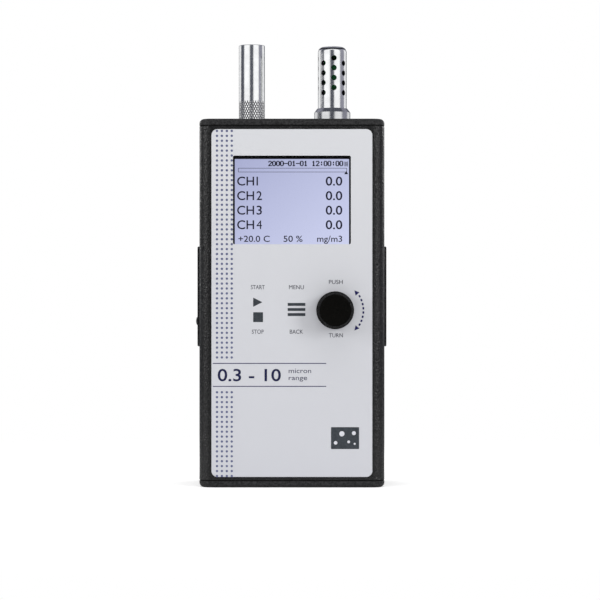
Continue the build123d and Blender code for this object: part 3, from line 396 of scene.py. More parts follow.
def disc(x, z, radius, turns=20):
    """Outline of a circle."""
    return arc((x, z), radius, 0, 360 * (turns - 1) / turns, turns - 1)


def bar(left, right, bottom, top):
    """Outline of a rectangle."""
    return np.array(((left, bottom), (right, bottom), (right, top), (left, top)), float)


def type_shape(text, weight=0.0):
    """Points and faces of text in Blender's own type at size 1, its letters thickened by a weight."""
    curve = bpy.data.curves.new(text, "FONT")
    curve.body = text
    curve.extrude = 0.5
    curve.resolution_u = 4
    curve.offset = weight
    holder = bpy.data.objects.new(text, curve)
    mesh = bpy.data.meshes.new_from_object(holder)
    points = np.array([vertex.co for vertex in mesh.vertices])
    faces = [list(polygon.vertices) for polygon in mesh.polygons]
    bpy.data.objects.remove(holder)
    bpy.data.meshes.remove(mesh)
    bpy.data.curves.remove(curve)
    return points, faces


CAPITAL_HEIGHT = type_shape("H")[0][:, 1].max()


def lettering(text, left, right, bottom, height, depths, weight=0.0):
    """Letters as a closed shape: type stretched between left and right, its capitals of one height."""
    points, faces = type_shape(text, weight)
    x, z, side = points.T
    across = left + (x - x.min()) / (x.max() - x.min()) * (right - left)
    upward = bottom + z / CAPITAL_HEIGHT * height
    return np.column_stack([across, np.where(side > 0, *depths), upward]), faces


def joined(shapes):
    """Several (points, faces) shapes as one."""
    points, faces, start = [], [], 0
    for some_points, some_faces in shapes:
        points.append(some_points)
        faces.extend([[start + int(i) for i in face] for face in some_faces])
        start += len(some_points)
    return np.vstack(points), faces


def clean_mesh(name, shape):
    """Mesh in metres of a shape in millimetres: poles closed, slivers gone, faces pointing outwards."""
    points, faces = shape
    mesh = bpy.data.meshes.new(name)
    mesh.from_pydata((points * MM).tolist(), [], [list(map(int, face)) for face in faces])
    work = bmesh.new()
    work.from_mesh(mesh)
    bmesh.ops.remove_doubles(work, verts=work.verts, dist=1e-7)
    bmesh.ops.dissolve_degenerate(work, edges=work.edges, dist=1e-8)
    bmesh.ops.recalc_face_normals(work, faces=work.faces)
    work.to_mesh(mesh)
    work.free()
    return mesh


def add_piece(name, shape, finish, body=CASE, replaced=(), sharp=30):
    """Makes the piece and hangs it on its body, in place of the CAD nodes it replaces."""
    mesh = clean_mesh(name, shape)
    mesh.shade_smooth()
    mesh.set_sharp_from_angle(angle=radians(sharp))
    mesh.materials.append(FINISHES[finish])
    piece = bpy.data.objects.new(name, mesh)
    bpy.context.scene.collection.objects.link(piece)
    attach(piece, body)
    if replaced:
        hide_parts(*replaced)
    return piece


def cut(piece, shapes):
    """Cuts closed shapes out of a piece, then keeps flat faces flat in its shading."""
    mesh = clean_mesh("cutter", joined(shapes))
    cutter = bpy.data.objects.new("cutter", mesh)
    bpy.context.scene.collection.objects.link(cutter)
    boolean = piece.modifiers.new("cut", "BOOLEAN")
    boolean.object = cutter
    boolean.operation = "DIFFERENCE"
    boolean.solver = "EXACT"
    boolean.use_self = False
    graph = bpy.context.evaluated_depsgraph_get()
    result = bpy.data.meshes.new_from_object(piece.evaluated_get(graph))
    piece.modifiers.clear()
    old = piece.data
    piece.data = result
    result.name = old.name.split(".")[0]
    result.materials.clear()
    result.materials.append(old.materials[0])
    result.shade_smooth()
    result.set_sharp_from_angle(angle=radians(30))
    bpy.data.objects.remove(cutter)
    for used in (mesh, old):
        bpy.data.meshes.remove(used)


# ---------------------------------------------------------------- settings


class CounterSettings(bpy.types.PropertyGroup):
    """Sizes in millimetres and the light of the scene."""

    knurl_teeth: IntProperty(name="Knurl teeth", description="Diamonds round the nozzle", default=30)
    knurl_depth: FloatProperty(name="Knurl depth", description="Depth of the knurl, mm", default=0.16)
    knurl_height: FloatProperty(name="Knurl height", description="Height of the knurl, mm", default=10.0)
    flute_count: IntProperty(name="Flutes", description="Grip flutes round the dial", default=48)
    flute_depth: FloatProperty(name="Flute depth", description="Depth of a flute, mm", default=0.22)
    dot_radius: FloatProperty(name="Dot radius", description="Radius of a printed dot, mm", default=0.6)
    ink_thickness: FloatProperty(name="Ink", description="Thickness of the print, mm", default=0.04)
    key_light: FloatProperty(name="Key light", description="Power of each softbox, W", default=5.2)
    sky_light: FloatProperty(name="Sky light", description="Light from all round", default=0.6)
    sky_tint: FloatVectorProperty(
        name="Sky tint",
        description="Colour of the light from all round",
        subtype="COLOR",
        default=(1.0, 1.0, 1.0),
    )


def settings():
    """The scene's settings."""
    return bpy.context.scene.counter_settings


class CounterOperator:
    """What all operators share: they can be undone."""

    bl_options = {"REGISTER", "UNDO"}


# ---------------------------------------------------------------- case


class COUNTER_OT_finishes(CounterOperator, bpy.types.Operator):
    """Make every finish and put the record's own on the CAD nodes."""

    bl_idname = "counter.finishes"
    bl_label = "Finishes"

    def execute(self, context):
        build_finishes()
        for part in frame["record"]["subparts"]:
            node = frame["nodes"][part["node"]]
            node.data.materials.clear()
            node.data.materials.append(FINISHES[part["material_slot"]])
        return {"FINISHED"}


class COUNTER_OT_housing(CounterOperator, bpy.types.Operator):
    """Extruded housing: a rounded tube with the overlay's recess and its openings."""

    bl_idname = "counter.housing"
    bl_label = "Housing"

    def execute(self, context):
        low, high = span_mm("housing")
        wall, corner, beyond = 2.2, 6.0, 1.0
        outer = rounded_outline(high[0], high[1], corner, 16)
        inner = rounded_outline(high[0] - wall, high[1] - wall, corner - wall, 16)
        corners = ((outer, low[2]), (outer, high[2]), (inner, high[2]), (inner, low[2]))
        rings = np.array([np.column_stack([o, np.full(len(o), height)]) for o, height in corners])
        shell = rings.reshape(-1, 3), grid_faces(len(rings), len(outer), True)
        piece = add_piece("case_shell", shell, "case_black", replaced=["housing"])
        film_low, film_high = span_mm("front_overlay")
        gap, film_corner, outside, inside = 0.15, 3.0, low[1] - beyond, low[1] + wall + beyond
        middle = (film_low[2] + film_high[2]) / 2
        recess = rounded_outline(film_high[0] + gap, film_high[2] - middle + gap, film_corner + gap, 8)
        lens_low, lens_high = span_mm("display_lens")
        window = bar(lens_low[0] - gap, lens_high[0] + gap, lens_low[2] - gap, lens_high[2] + gap)
        shaft_low, shaft_high = span_mm("dial_shaft")
        shaft_radius, shaft_hole = 3.0, 3.8
        shaft = disc((shaft_low[0] + shaft_high[0]) / 2, shaft_low[2] + shaft_radius, shaft_hole, 32)
        plate_low, plate_high = span_mm("left_plate")
        # the side openings leave a rim for the plate's screws; jack and button pass the left one
        rim, opening_front, left_back, right_back = 6.2, -10.5, 1.4, 11.4
        side_z = (plate_low[2] + rim, plate_high[2] - rim)
        left_x = (low[0] - beyond, low[0] + wall + beyond)
        right_x = (high[0] - wall - beyond, high[0] + beyond)
        cut(piece, [prism(recess + (0, middle), (outside, film_high[1]))])
        openings = [
            prism(window, (outside, inside)),
            prism(shaft, (outside, inside)),
            stacked(box_rings(left_x, (opening_front, left_back), side_z)),
            stacked(box_rings(right_x, (opening_front, right_back), side_z)),
        ]
        cut(piece, openings)
        return {"FINISHED"}


def box_rings(xs, ys, zs):
    """Two rectangular rings, one at each height, for a box between two x, two y and two z."""
    (x0, x1), (y0, y1), (z0, z1) = xs, ys, zs
    return [[(x0, y0, z), (x1, y0, z), (x1, y1, z), (x0, y1, z)] for z in (z0, z1)]


class COUNTER_OT_caps(CounterOperator, bpy.types.Operator):
    """End caps: flat plates whose outer edge is rounded, with countersinks round the screw heads."""

    bl_idname = "counter.caps"
    bl_label = "End caps"

    def execute(self, context):
        half_width, half_depth, housing_top = span_mm("housing")[1]
        thickness, edge, corner, chamfer, gasket = 3.2, 2.3, 6.0, 0.12, 0.6
        sink, sink_wall, screw_inset = 3.05, 0.5, 5.6
        top = housing_top + gasket + thickness
        screw_x, screw_y = half_width - screw_inset, half_depth - screw_inset
        turn = arc((0, 0), edge, 0, 90, 8)
        rise = [(chamfer, 0.0), (0.0, chamfer)] + [(edge - x, thickness - edge + z) for x, z in turn]
        covers = (("top_cap_cover", "top_cap", top, 1), ("foot_cap_cover", "bottom_cap", 0, -1))
        for name, node, face, up in covers:
            joint = face - up * thickness
            levels = [(inset, joint + up * height) for inset, height in rise]
            shape = slab(half_width, half_depth, corner, levels, 14)
            piece = add_piece(name, shape, "cap_black", replaced=[node])
            cone = [(0, -sink), (sink, 0), (sink, sink_wall), (0, sink_wall)]
            sinks = [
                revolved(cone, (x, y, face), UP * up, RIGHT, 32)
                for x in (-screw_x, screw_x)
                for y in (-screw_y, screw_y)
            ]
            cut(piece, sinks)
        return {"FINISHED"}


# ---------------------------------------------------------------- print on the overlay


def level_line(left, right, z, width, depths):
    """A line along x of a given width."""
    return prism(bar(left, right, z - width / 2, z + width / 2), depths)


def upright_line(x, low, high, width, depths):
    """A line along z of a given width."""
    return prism(bar(x - width / 2, x + width / 2, low, high), depths)


def ink_depths():
    """Front and back depth of the ink on the overlay, which keys it into the film, in millimetres."""
    film = span_mm("front_overlay")[0][1]
    return film - settings().ink_thickness, film + 0.01


class COUNTER_OT_dots(CounterOperator, bpy.types.Operator):
    """Columns of printed dots down the left of the overlay, broken by the title band."""

    bl_idname = "counter.dots"
    bl_label = "Dot columns"

    def execute(self, context):
        depths = ink_depths()
        pitch, first_x, columns, turns = 2.455, -37.35, 4, 16
        upper_top, upper_rows = 177.9, 47
        lower_top, lower_rows = 47.6, 18
        heights = [upper_top - pitch * row for row in range(upper_rows)]
        heights += [lower_top - pitch * row for row in range(lower_rows)]
        shapes = [
            prism(disc(first_x + pitch * column, z, settings().dot_radius, turns), depths)
            for column in range(columns)
            for z in heights
        ]
        add_piece("dot_columns", joined(shapes), "dot_ink")
        return {"FINISHED"}


class COUNTER_OT_title_band(CounterOperator, bpy.types.Operator):
    """Two thin lines with the range of particle sizes between them, and the plain square below."""

    bl_idname = "counter.title_band"
    bl_label = "Title band"

    def execute(self, context):
        depths = ink_depths()
        width, left, right, upper, lower = 0.4, -39.4, 17.1, 62.0, 50.55
        lines = [level_line(left, right, z, width, depths) for z in (upper, lower)]
        add_piece("band_lines", joined(lines), "line_ink")
        # left, right, foot and height of the capitals
        words = [
            lettering("0.3 - 10", -37.0, -5.5, 53.2, 5.9, depths, 0.012),
            lettering("micron", -1.6, 9.6, 57.2, 2.3, depths),
            lettering("range", -1.6, 7.6, 53.7, 2.3, depths),
        ]
        add_piece("size_range", joined(words), "name_ink")
        badge_middle, half_width, half_height, corner = (26.5, 24.75), 7.0, 5.45, 0.3
        badge = rounded_outline(half_width, half_height, corner, 4) + badge_middle
        add_piece("plain_badge", prism(badge, depths), "icon_ink")
        # five round specks (x, z, radius), printed over the badge
        specks = (
            (21.8, 22.4, 0.9),
            (24.9, 26.9, 1.3),
            (28.3, 22.9, 0.7),
            (30.9, 27.2, 1.0),
            (31.3, 21.9, 0.5),
        )
        over = (depths[0] - 0.02, depths[0] + 0.01)
        discs = [prism(disc(x, z, radius, 24), over) for x, z, radius in specks]
        add_piece("badge_specks", joined(discs), "speck_ink")
        return {"FINISHED"}


class COUNTER_OT_legends(CounterOperator, bpy.types.Operator):
    """Words, icons and the arc of dashes round the controls."""

    bl_idname = "counter.legends"
    bl_label = "Legends"

    def execute(self, context):
        depths = ink_depths()
        capitals = 2.0
        start_x, menu_x, dial_x = -17.0, 2.25, 21.9
        above, below, dial_above, dial_below = 99.0, 76.8, 101.6, 75.0
        words = (
            ("START", start_x, above, 6.9),
            ("STOP", start_x, below, 5.9),
            ("MENU", menu_x, above, 7.4),
            ("BACK", menu_x, below, 6.6),
            ("PUSH", dial_x, dial_above, 6.9),
            ("TURN", dial_x, dial_below, 7.0),
        )
        letters = [
            lettering(word, x - width / 2, x + width / 2, z, capitals, depths)
            for word, x, z, width in words
        ]
        add_piece("control_words", joined(letters), "legend_ink")
        triangle = [(-19.3, 90.2), (-14.75, 92.5), (-19.3, 94.8)]
        square = bar(-19.3, -14.4, 82.6, 87.5)
        icons = [prism(triangle, depths), prism(square, depths)]
        stroke_width, strokes = 1.46, (91.4, 88.87, 86.35)
        icons += [level_line(-2.1, 6.7, z, stroke_width, depths) for z in strokes]
        add_piece("key_icons", joined(icons), "icon_ink")
        centre, radius, pitch, count = np.array((21.55, 88.4)), 14.1, 8.6, 8
        half_across, half_along, corner = 0.45, 0.62, 0.3
        dash = rounded_outline(half_across, half_along, corner, 3)
        dashes = []
        for step in range(count):
            out, along = spoke(pitch * (step - (count - 1) / 2))
            dashes.append(prism(centre + radius * out + dash[:, :1] * out + dash[:, 1:] * along, depths))
        head_angle, head_radius, tip, tail, half_wide = 40.0, 13.8, 1.5, 0.9, 1.25
        for side in (1, -1):
            out, along = spoke(head_angle * side)
            middle, tail_end = centre + head_radius * out, -tail * side * along
            head = [tip * side * along, tail_end + half_wide * out, tail_end - half_wide * out]
            dashes.append(prism(middle + head, depths))
        add_piece("dial_arc", joined(dashes), "line_ink")
        return {"FINISHED"}


def spoke(degrees):
    """Direction outwards at an angle and the direction square to it, in x and z."""
    angle = radians(degrees)
    out = np.array((np.cos(angle), np.sin(angle)))
    return out, np.array((-out[1], out[0]))


# ---------------------------------------------------------------- display

# the digits of the clock, five dots wide and seven high
CLOCK_DOTS = {
    "0": (".###.", "#...#", "#...#", "#...#", "#...#", "#...#", ".###."),
    "1": ("..#..", ".##..", "..#..", "..#..", "..#..", "..#..", ".###."),
    "2": (".###.", "#...#", "....#", "...#.", "..#..", ".#...", "#####"),
    "-": (".....", ".....", ".....", "#####", ".....", ".....", "....."),
    ":": (".....", "..#..", "..#..", ".....", "..#..", "..#..", "....."),
    " ": (".....",) * 7,
}


def clock_dots(text, left, right, low, high, depths):
    """Dot-matrix text: a small rectangle for each lit dot, six columns to a character.

    Each dot is drawn larger than its cell, so the strokes stay dark at a distance.
    """
    dot_width, dot_height = 1.9, 1.2
    wide = (right - left) / (6 * len(text) - 1)
    tall = (high - low) / 7
    shapes = []
    for place, character in enumerate(text):
        for row, dots in enumerate(CLOCK_DOTS[character]):
            for column, dot in enumerate(dots):
                if dot == "#":
                    x = left + (6 * place + column) * wide
                    z = high - row * tall
                    shapes.append(prism(bar(x, x + wide * dot_width, z - tall * dot_height, z), depths))
    return shapes


class COUNTER_OT_display(CounterOperator, bpy.types.Operator):
    """What the display shows: clock, battery, bar, four channels and a line of readings."""

    bl_idname = "counter.display"
    bl_label = "Display"

    def execute(self, context):
        glass = span_mm("lcd_panel")[0][1]
        depths = glass - 0.05, glass + 0.01
        clock_x, clock_z = (-11.9, 25.4), (160.6, 163.2)
        shapes = clock_dots("2000-01-01 12:00:00", *clock_x, *clock_z, depths)
        battery_x, battery_z, rungs = (26.4, 27.8), (160.4, 162.9), (160.7, 161.3, 161.9, 162.5)
        rung, side = 0.32, 0.2
        shapes += [level_line(*battery_x, z, rung, depths) for z in rungs]
        shapes += [upright_line(x, *battery_z, side, depths) for x in battery_x]
        bar_x, bar_z, line = (-26.8, 27.4), (157.6, 159.5), 0.22
        shapes += [level_line(*bar_x, z, line, depths) for z in bar_z]
        shapes += [upright_line(x, *bar_z, line, depths) for x in bar_x]
        marker = [(26.1, 156.5), (28.2, 156.5), (27.15, 158.0)]
        shapes.append(prism(marker, depths))
        tall, first_row, pitch, label_left, digit_left = 4.3, 150.9, 7.27, -27.4, -17.7
        # where each digit ends and how far it is thickened, which the 4 can't be without a break in it
        digits = (("1", -17.0, 0.01), ("2", -15.0, 0.01), ("3", -15.0, 0.01), ("4", -15.0, 0.0))
        for row, (digit, right, weight) in enumerate(digits):
            low = first_row - row * pitch
            shapes.append(lettering("CH", label_left, -18.9, low, tall, depths, 0.01))
            shapes.append(lettering(digit, digit_left, right, low, tall, depths, weight))
            shapes.append(lettering("0.0", 16.9, 25.2, low, tall, depths, 0.014))
        foot, small = 122.7, 3.0
        for text, left, right in (("+20.0 C", -26.8, -11.1), ("50 %", -4.2, 5.3), ("mg/m3", 12.6, 25.1)):
            shapes.append(lettering(text, left, right, foot, small, depths, 0.008))
        add_piece("display_segments", joined(shapes), "display_ink")
        return {"FINISHED"}


# ---------------------------------------------------------------- dial


def fluted(angle, count):
    """Depth of the flutes round the dial from 0 on a land to 1 in a groove: a cosine, cut off flat."""
    steepness, land = 1.5, 0.35
    wave = 0.5 - 0.5 * np.cos(count * angle)
    return np.clip(steepness * wave - land, 0, 1)


class COUNTER_OT_dial(CounterOperator, bpy.types.Operator):
    """Push dial: a smooth foot, a tapered fluted grip and a dished face with a rounded rim."""

    bl_idname = "counter.dial"
    bl_label = "Dial"

    def execute(self, context):
        low, high = span_mm("dial_knob")
        centre = ((low[0] + high[0]) / 2, high[1], (low[2] + high[2]) / 2)
        height = high[1] - low[1]
        radius, face, dish, foot, chamfer = 9.4, 7.5, 0.45, 1.3, 0.25
        rim_radius, rim_inset, step, taper_less, hollow_from = 0.75, 0.35, 0.12, 0.55, 0.93
        flank = np.linspace(0, 1, 26)
        grip_low, grip_high = foot + chamfer, height - rim_radius
        narrowing = (radius - face - taper_less) * flank
        grip = np.column_stack([radius - step - narrowing, grip_low + (grip_high - grip_low) * flank])
        rim = arc((face - rim_inset, height - rim_radius), rim_radius, 0, 90, 8)
        hollow, fullness = np.linspace(hollow_from, 0.0, 14), 0.8
        sunk = dish * np.cos(hollow * pi / 2) ** fullness
        inside = np.column_stack([(face - rim_inset) * hollow, height - sunk])
        lower = [(0, 0), (radius - chamfer, 0), (radius, chamfer), (radius, foot)]
        outline = np.vstack([lower, grip, rim, inside])
        # the flutes run out over a twelfth of the grip at both ends
        in_grip = np.zeros((len(outline), 1))
        run_out = np.clip(np.minimum(flank, 1 - flank) * 12, 0, 1)
        in_grip[len(lower) : len(lower) + len(grip), 0] = run_out
        count, steps_per_flute = settings().flute_count, 8
        turns = count * steps_per_flute
        depth = in_grip * fluted(turn_angles(turns), count) * settings().flute_depth
        shape = revolved(outline, centre, FRONT, RIGHT, turns, inward=depth)
        add_piece("push_dial", shape, "dial_black", "dial", ["dial_knob"], sharp=50)
        return {"FINISHED"}


# ---------------------------------------------------------------- sides


class COUNTER_OT_power_button(CounterOperator, bpy.types.Operator):
    """Power button: a short domed cylinder that stands out of the left plate."""

    bl_idname = "counter.power_button"
    bl_label = "Power button"

    def execute(self, context):
        low, high = span_mm("power_button")
        middle = (low + high) / 2
        flange = (high[1] - low[1]) / 2
        radius, crown, thickness, gap = flange - 1.0, 0.9, 1.0, 0.05
        plate = span_mm("left_plate")[1][0]
        length = plate - low[0]
        dome = np.linspace(0, 1, 12) * pi / 2
        top = np.column_stack([radius * np.cos(dome), length - crown + crown * np.sin(dome)])
        outline = np.vstack([[(0, -thickness), (flange, -thickness), (flange, 0), (radius, 0)], top])
        shape = revolved(outline, (plate + gap, middle[1], middle[2]), -RIGHT, UP, 48)
        slot = "black_plastic"
        add_piece("power_button_cap", shape, slot, "power_button", ["power_button"])
        return {"FINISHED"}


# ---------------------------------------------------------------- top


def knurl(angle, height, teeth, pitch, groove):
    """Diamond knurl from 0 in a groove to 1 on a flat top.

    It is the lower of two triangle waves that wind opposite ways, cut off at the width of a groove.
    """
    turn = teeth * angle / (2 * pi)
    right = 1 - np.abs(2 * ((turn + height / pitch) % 1) - 1)
    left = 1 - np.abs(2 * ((turn - height / pitch) % 1) - 1)
    return np.clip(np.minimum(right, left) / groove, 0, 1)


class COUNTER_OT_nozzle(CounterOperator, bpy.types.Operator):
    """Sampling nozzle: a polished tube with a cone-shaped mouth and a knurled band at its foot."""

    bl_idname = "counter.nozzle"
    bl_label = "Nozzle"

    def execute(self, context):
        low, high = span_mm("inlet_nozzle")
        foot = np.array(((low[0] + high[0]) / 2, (low[1] + high[1]) / 2, low[2]))
        radius, length = (high[0] - low[0]) / 2, high[2] - low[2]
        lip, bore, socket, seat, edge_radius, chamfer = 0.5, 2.0, 4.05, 5.5, 0.35, 0.3
        socket_top, seat_top, cone_length, pitch, groove_width = 8.4, 1.0, 24, 2.4, 0.3
        teeth, depth, band_top = settings().knurl_teeth, settings().knurl_depth, settings().knurl_height
        band_foot, level_step, run_out, steps_per_tooth = 0.4, 0.16, 0.25, 12
        band = np.arange(band_foot, band_top, level_step)
        edge = arc((radius - edge_radius, length - edge_radius), edge_radius, 0, 90, 5)
        cone = np.linspace(length, length - cone_length, 12)
        mouth = np.column_stack([np.linspace(radius - lip, bore, 12), cone])
        foot_edge = [(seat, 0), (radius - chamfer, 0), (radius, chamfer)]
        # close rings above the band keep its bumps out of the polished tube's shading
        outline = np.vstack(
            [
                foot_edge,
                np.column_stack([np.full(len(band), radius), band]),
                [(radius, band_top + rise) for rise in (0.1, 0.5, 0.9, length / 2)],
                edge,
                mouth,
                [(bore, socket_top), (socket, socket_top), (socket, seat_top), (seat, seat_top)],
            ]
        )
        turns = teeth * steps_per_tooth
        in_band = np.zeros((len(outline), 1))
        first = len(foot_edge)
        in_band[first : first + len(band), 0] = np.clip((band_top - band) / run_out, 0, 1)
        hollow = 1 - knurl(turn_angles(turns), outline[:, 1:], teeth, pitch, groove_width)
        shape = revolved(outline, foot, UP, RIGHT, turns, True, in_band * hollow * depth)
        slot = "polished_aluminium"
        piece = add_piece("nozzle_tube", shape, slot, "nozzle", ["inlet_nozzle"], 24)
        piece.data.materials.append(FINISHES["knurled"])
        piece.data.materials.append(FINISHES["knurl_grooves"])
        middles = np.array([face.center for face in piece.data.polygons]) / MM - foot
        outside = np.hypot(middles[:, 0], middles[:, 1])
        banded = (middles[:, 2] < band_top) & (middles[:, 2] > chamfer) & (outside > seat)
        # a face counts as groove where it lies deeper than 0.15 of the knurl's depth
        groove = banded & (outside < radius - 0.15 * depth)
        piece.data.polygons.foreach_set("material_index", banded.astype(np.int32) + groove)
        return {"FINISHED"}


def round_normals(mesh, x, inset, shoulder):
    """True normals of a round-topped tube, so cuts in its wall leave no creases in its reflections.

    The wall's normal points away from the axis. Above the shoulder it points away from the nearest
    point of the circle of radius inset round the axis. Faces that lean off these by more than
    25 degrees, such as the walls of holes, keep their own flat normal.
    """

    def true_normal(points):
        out = points - (x, 0, 0)
        flat = np.maximum(np.hypot(out[:, 0], out[:, 1]), 1e-9)
        over = np.maximum(out[:, 2] - shoulder, 0)
        reach = np.where(over > 0, np.maximum(flat - inset, 0), 1.0)
        normal = np.column_stack([out[:, :2] / flat[:, None] * reach[:, None], over])
        return normal / np.linalg.norm(normal, axis=1)[:, None]

    points = np.array([vertex.co for vertex in mesh.vertices])
    corners = np.array([loop.vertex_index for loop in mesh.loops])
    owners = np.repeat(np.arange(len(mesh.polygons)), [face.loop_total for face in mesh.polygons])
    flat_normals = np.array([face.normal for face in mesh.polygons])
    middles = np.array([face.center for face in mesh.polygons])
    round_face = (true_normal(middles) * flat_normals).sum(1) > np.cos(radians(25))
    normals = np.where(round_face[owners, None], true_normal(points)[corners], flat_normals[owners])
    mesh.normals_split_custom_set(normals.tolist())


class COUNTER_OT_air_sensor(CounterOperator, bpy.types.Operator):
    """Air sensor: a collar on the cap and a round-topped tube with staggered columns of holes."""

    bl_idname = "counter.air_sensor"
    bl_label = "Air sensor"

    def execute(self, context):
        low, high = span_mm("probe_shroud")
        x = (low[0] + high[0]) / 2
        radius, wall, crown = (high[0] - low[0]) / 2, 1.2, 2.7
        top, bottom = high[2], low[2]
        levels = np.linspace(bottom, top - crown, 44)
        outside = np.column_stack([np.full(len(levels), radius), levels])
        shoulder = (radius - crown, top - crown)
        rounded = arc(shoulder, crown, 0, 90, 10)[1:]
        inner = arc(shoulder, crown - wall, 90, 0, 6)
        ends = [(0, top), (0, top - wall)]
        outline = np.vstack([outside, rounded, ends, inner, [(radius - wall, bottom)]])
        shape = revolved(outline, (x, 0, 0), UP, RIGHT, 144, closed=True)
        slot = "polished_aluminium"
        tube = add_piece("sensor_tube", shape, slot, replaced=["probe_shroud"])
        tail_length = 9.0
        cap_top = span_mm("probe_base")[0][2] + tail_length
        hole, pitch, first, turn, columns, rows = 1.4, 5.0, 32.1, 6.0, 8, 4
        start, end = radius - 3, radius + 1
        drill = [(0, start), (hole, start), (hole, end), (0, end)]
        holes = []
        for column in range(columns):
            angle = radians(turn - 90 + 360 / columns * column)
            out = np.array((np.cos(angle), np.sin(angle), 0.0))
            side = np.array((-out[1], out[0], 0.0))
            for row in range(rows):
                z = cap_top + first - pitch * (row + 0.5 * (column % 2))
                holes.append(revolved(drill, (x, 0, z), out, side, 24))
        cut(tube, holes)
        tube.data.materials.append(FINISHES["sensor_inside"])
        centres = np.array([face.center for face in tube.data.polygons])
        # a face is inside where it lies further in than the skin of the wall
        skin, top_skin = 0.3, wall * 0.6
        inward = np.hypot(centres[:, 0] - x * MM, centres[:, 1]) < (radius - skin) * MM
        inward &= centres[:, 2] < (top - top_skin) * MM
        tube.data.polygons.foreach_set("material_index", inward.astype(np.int32))
        round_normals(tube.data, x * MM, (radius - crown) * MM, (top - crown) * MM)
        base_low, base_high = span_mm("probe_base")
        wide, tail, bore, clearance, seat = (base_high[0] - base_low[0]) / 2, 5.8, 4.4, 0.06, 3.0
        bevel, straight, ledge, collar = 0.15, 4.75, 0.4, base_high[2] - cap_top
        edge_in, edge_up = 0.12, 0.2
        outline = [
            (bore, -tail_length),
            (tail, -tail_length),
            (tail, 0),
            (wide - bevel, 0),
            (wide, bevel),
            (wide, straight),
            (wide - edge_in, straight + edge_up),
            (radius + ledge, collar),
            (radius + clearance, collar),
            (radius + clearance, collar - seat),
            (bore, collar - seat),
        ]
        shape = revolved(outline, (x, 0, cap_top), UP, RIGHT, 120, closed=True)
        add_piece("sensor_collar", shape, "sensor_collar", replaced=["probe_base"])
        return {"FINISHED"}


# ---------------------------------------------------------------- stage


def emissive(name, hex_colour, strength):
    """A glowing card."""
    made = bpy.data.materials.new(name)
    made.use_nodes = True
    tree = made.node_tree
    tree.nodes.remove(tree.nodes["Principled BSDF"])
    values = {"Color": linear(hex_colour), "Strength": strength}
    glow = add_node(tree, "ShaderNodeEmission", settings=values)
    tree.links.new(glow.outputs["Emission"], tree.nodes["Material Output"].inputs["Surface"])
    return made


def sheet(name, centre, across, up, finish):
    """Flat rectangle of the studio; across and up are its half sides."""
    centre, across, up = (np.array(v, float) for v in (centre, across, up))
    points = [centre - across - up, centre + across - up, centre + across + up, centre - across + up]
    mesh = bpy.data.meshes.new(name)
    mesh.from_pydata([tuple(p) for p in points], [], [(0, 1, 2, 3)])
    mesh.materials.append(finish)
    made = bpy.data.objects.new(name, mesh)
    bpy.context.scene.collection.objects.link(made)
    return made


def studio_card(name, centre, across, up, finish):
    """A sheet that only reflections see."""
    card = sheet(name, centre, across, up, finish)
    card.visible_camera = card.visible_diffuse = card.visible_shadow = False


def around(bearing, distance, height):
    """Place at a bearing round the object, in degrees to the right of the camera's side."""
    angle = radians(bearing)
    return (distance * np.sin(angle), -distance * np.cos(angle), height)


def standing_card(name, bearings, distance, heights, finish):
    """Upright card between two bearings and two heights, facing the object."""
    middle, half = sum(bearings) / 2, radians(bearings[1] - bearings[0]) / 2
    across = np.array(around(middle + 90, distance * np.tan(half), 0.0))
    centre, reach = sum(heights) / 2, (heights[1] - heights[0]) / 2
    studio_card(name, around(middle, distance, centre), across, (0, 0, reach), finish)


def softbox(name, place, aim, size, power):
    """Rectangular area lamp that points at aim."""
    data = bpy.data.lights.new(name, "AREA")
    data.shape = "RECTANGLE"
    data.size, data.size_y = size
    data.energy = power
    lamp = bpy.data.objects.new(name, data)
    lamp.location = place
    lamp.rotation_euler = (Vector(aim) - Vector(place)).to_track_quat("-Z", "Y").to_euler()
    bpy.context.scene.collection.objects.link(lamp)
    return lamp


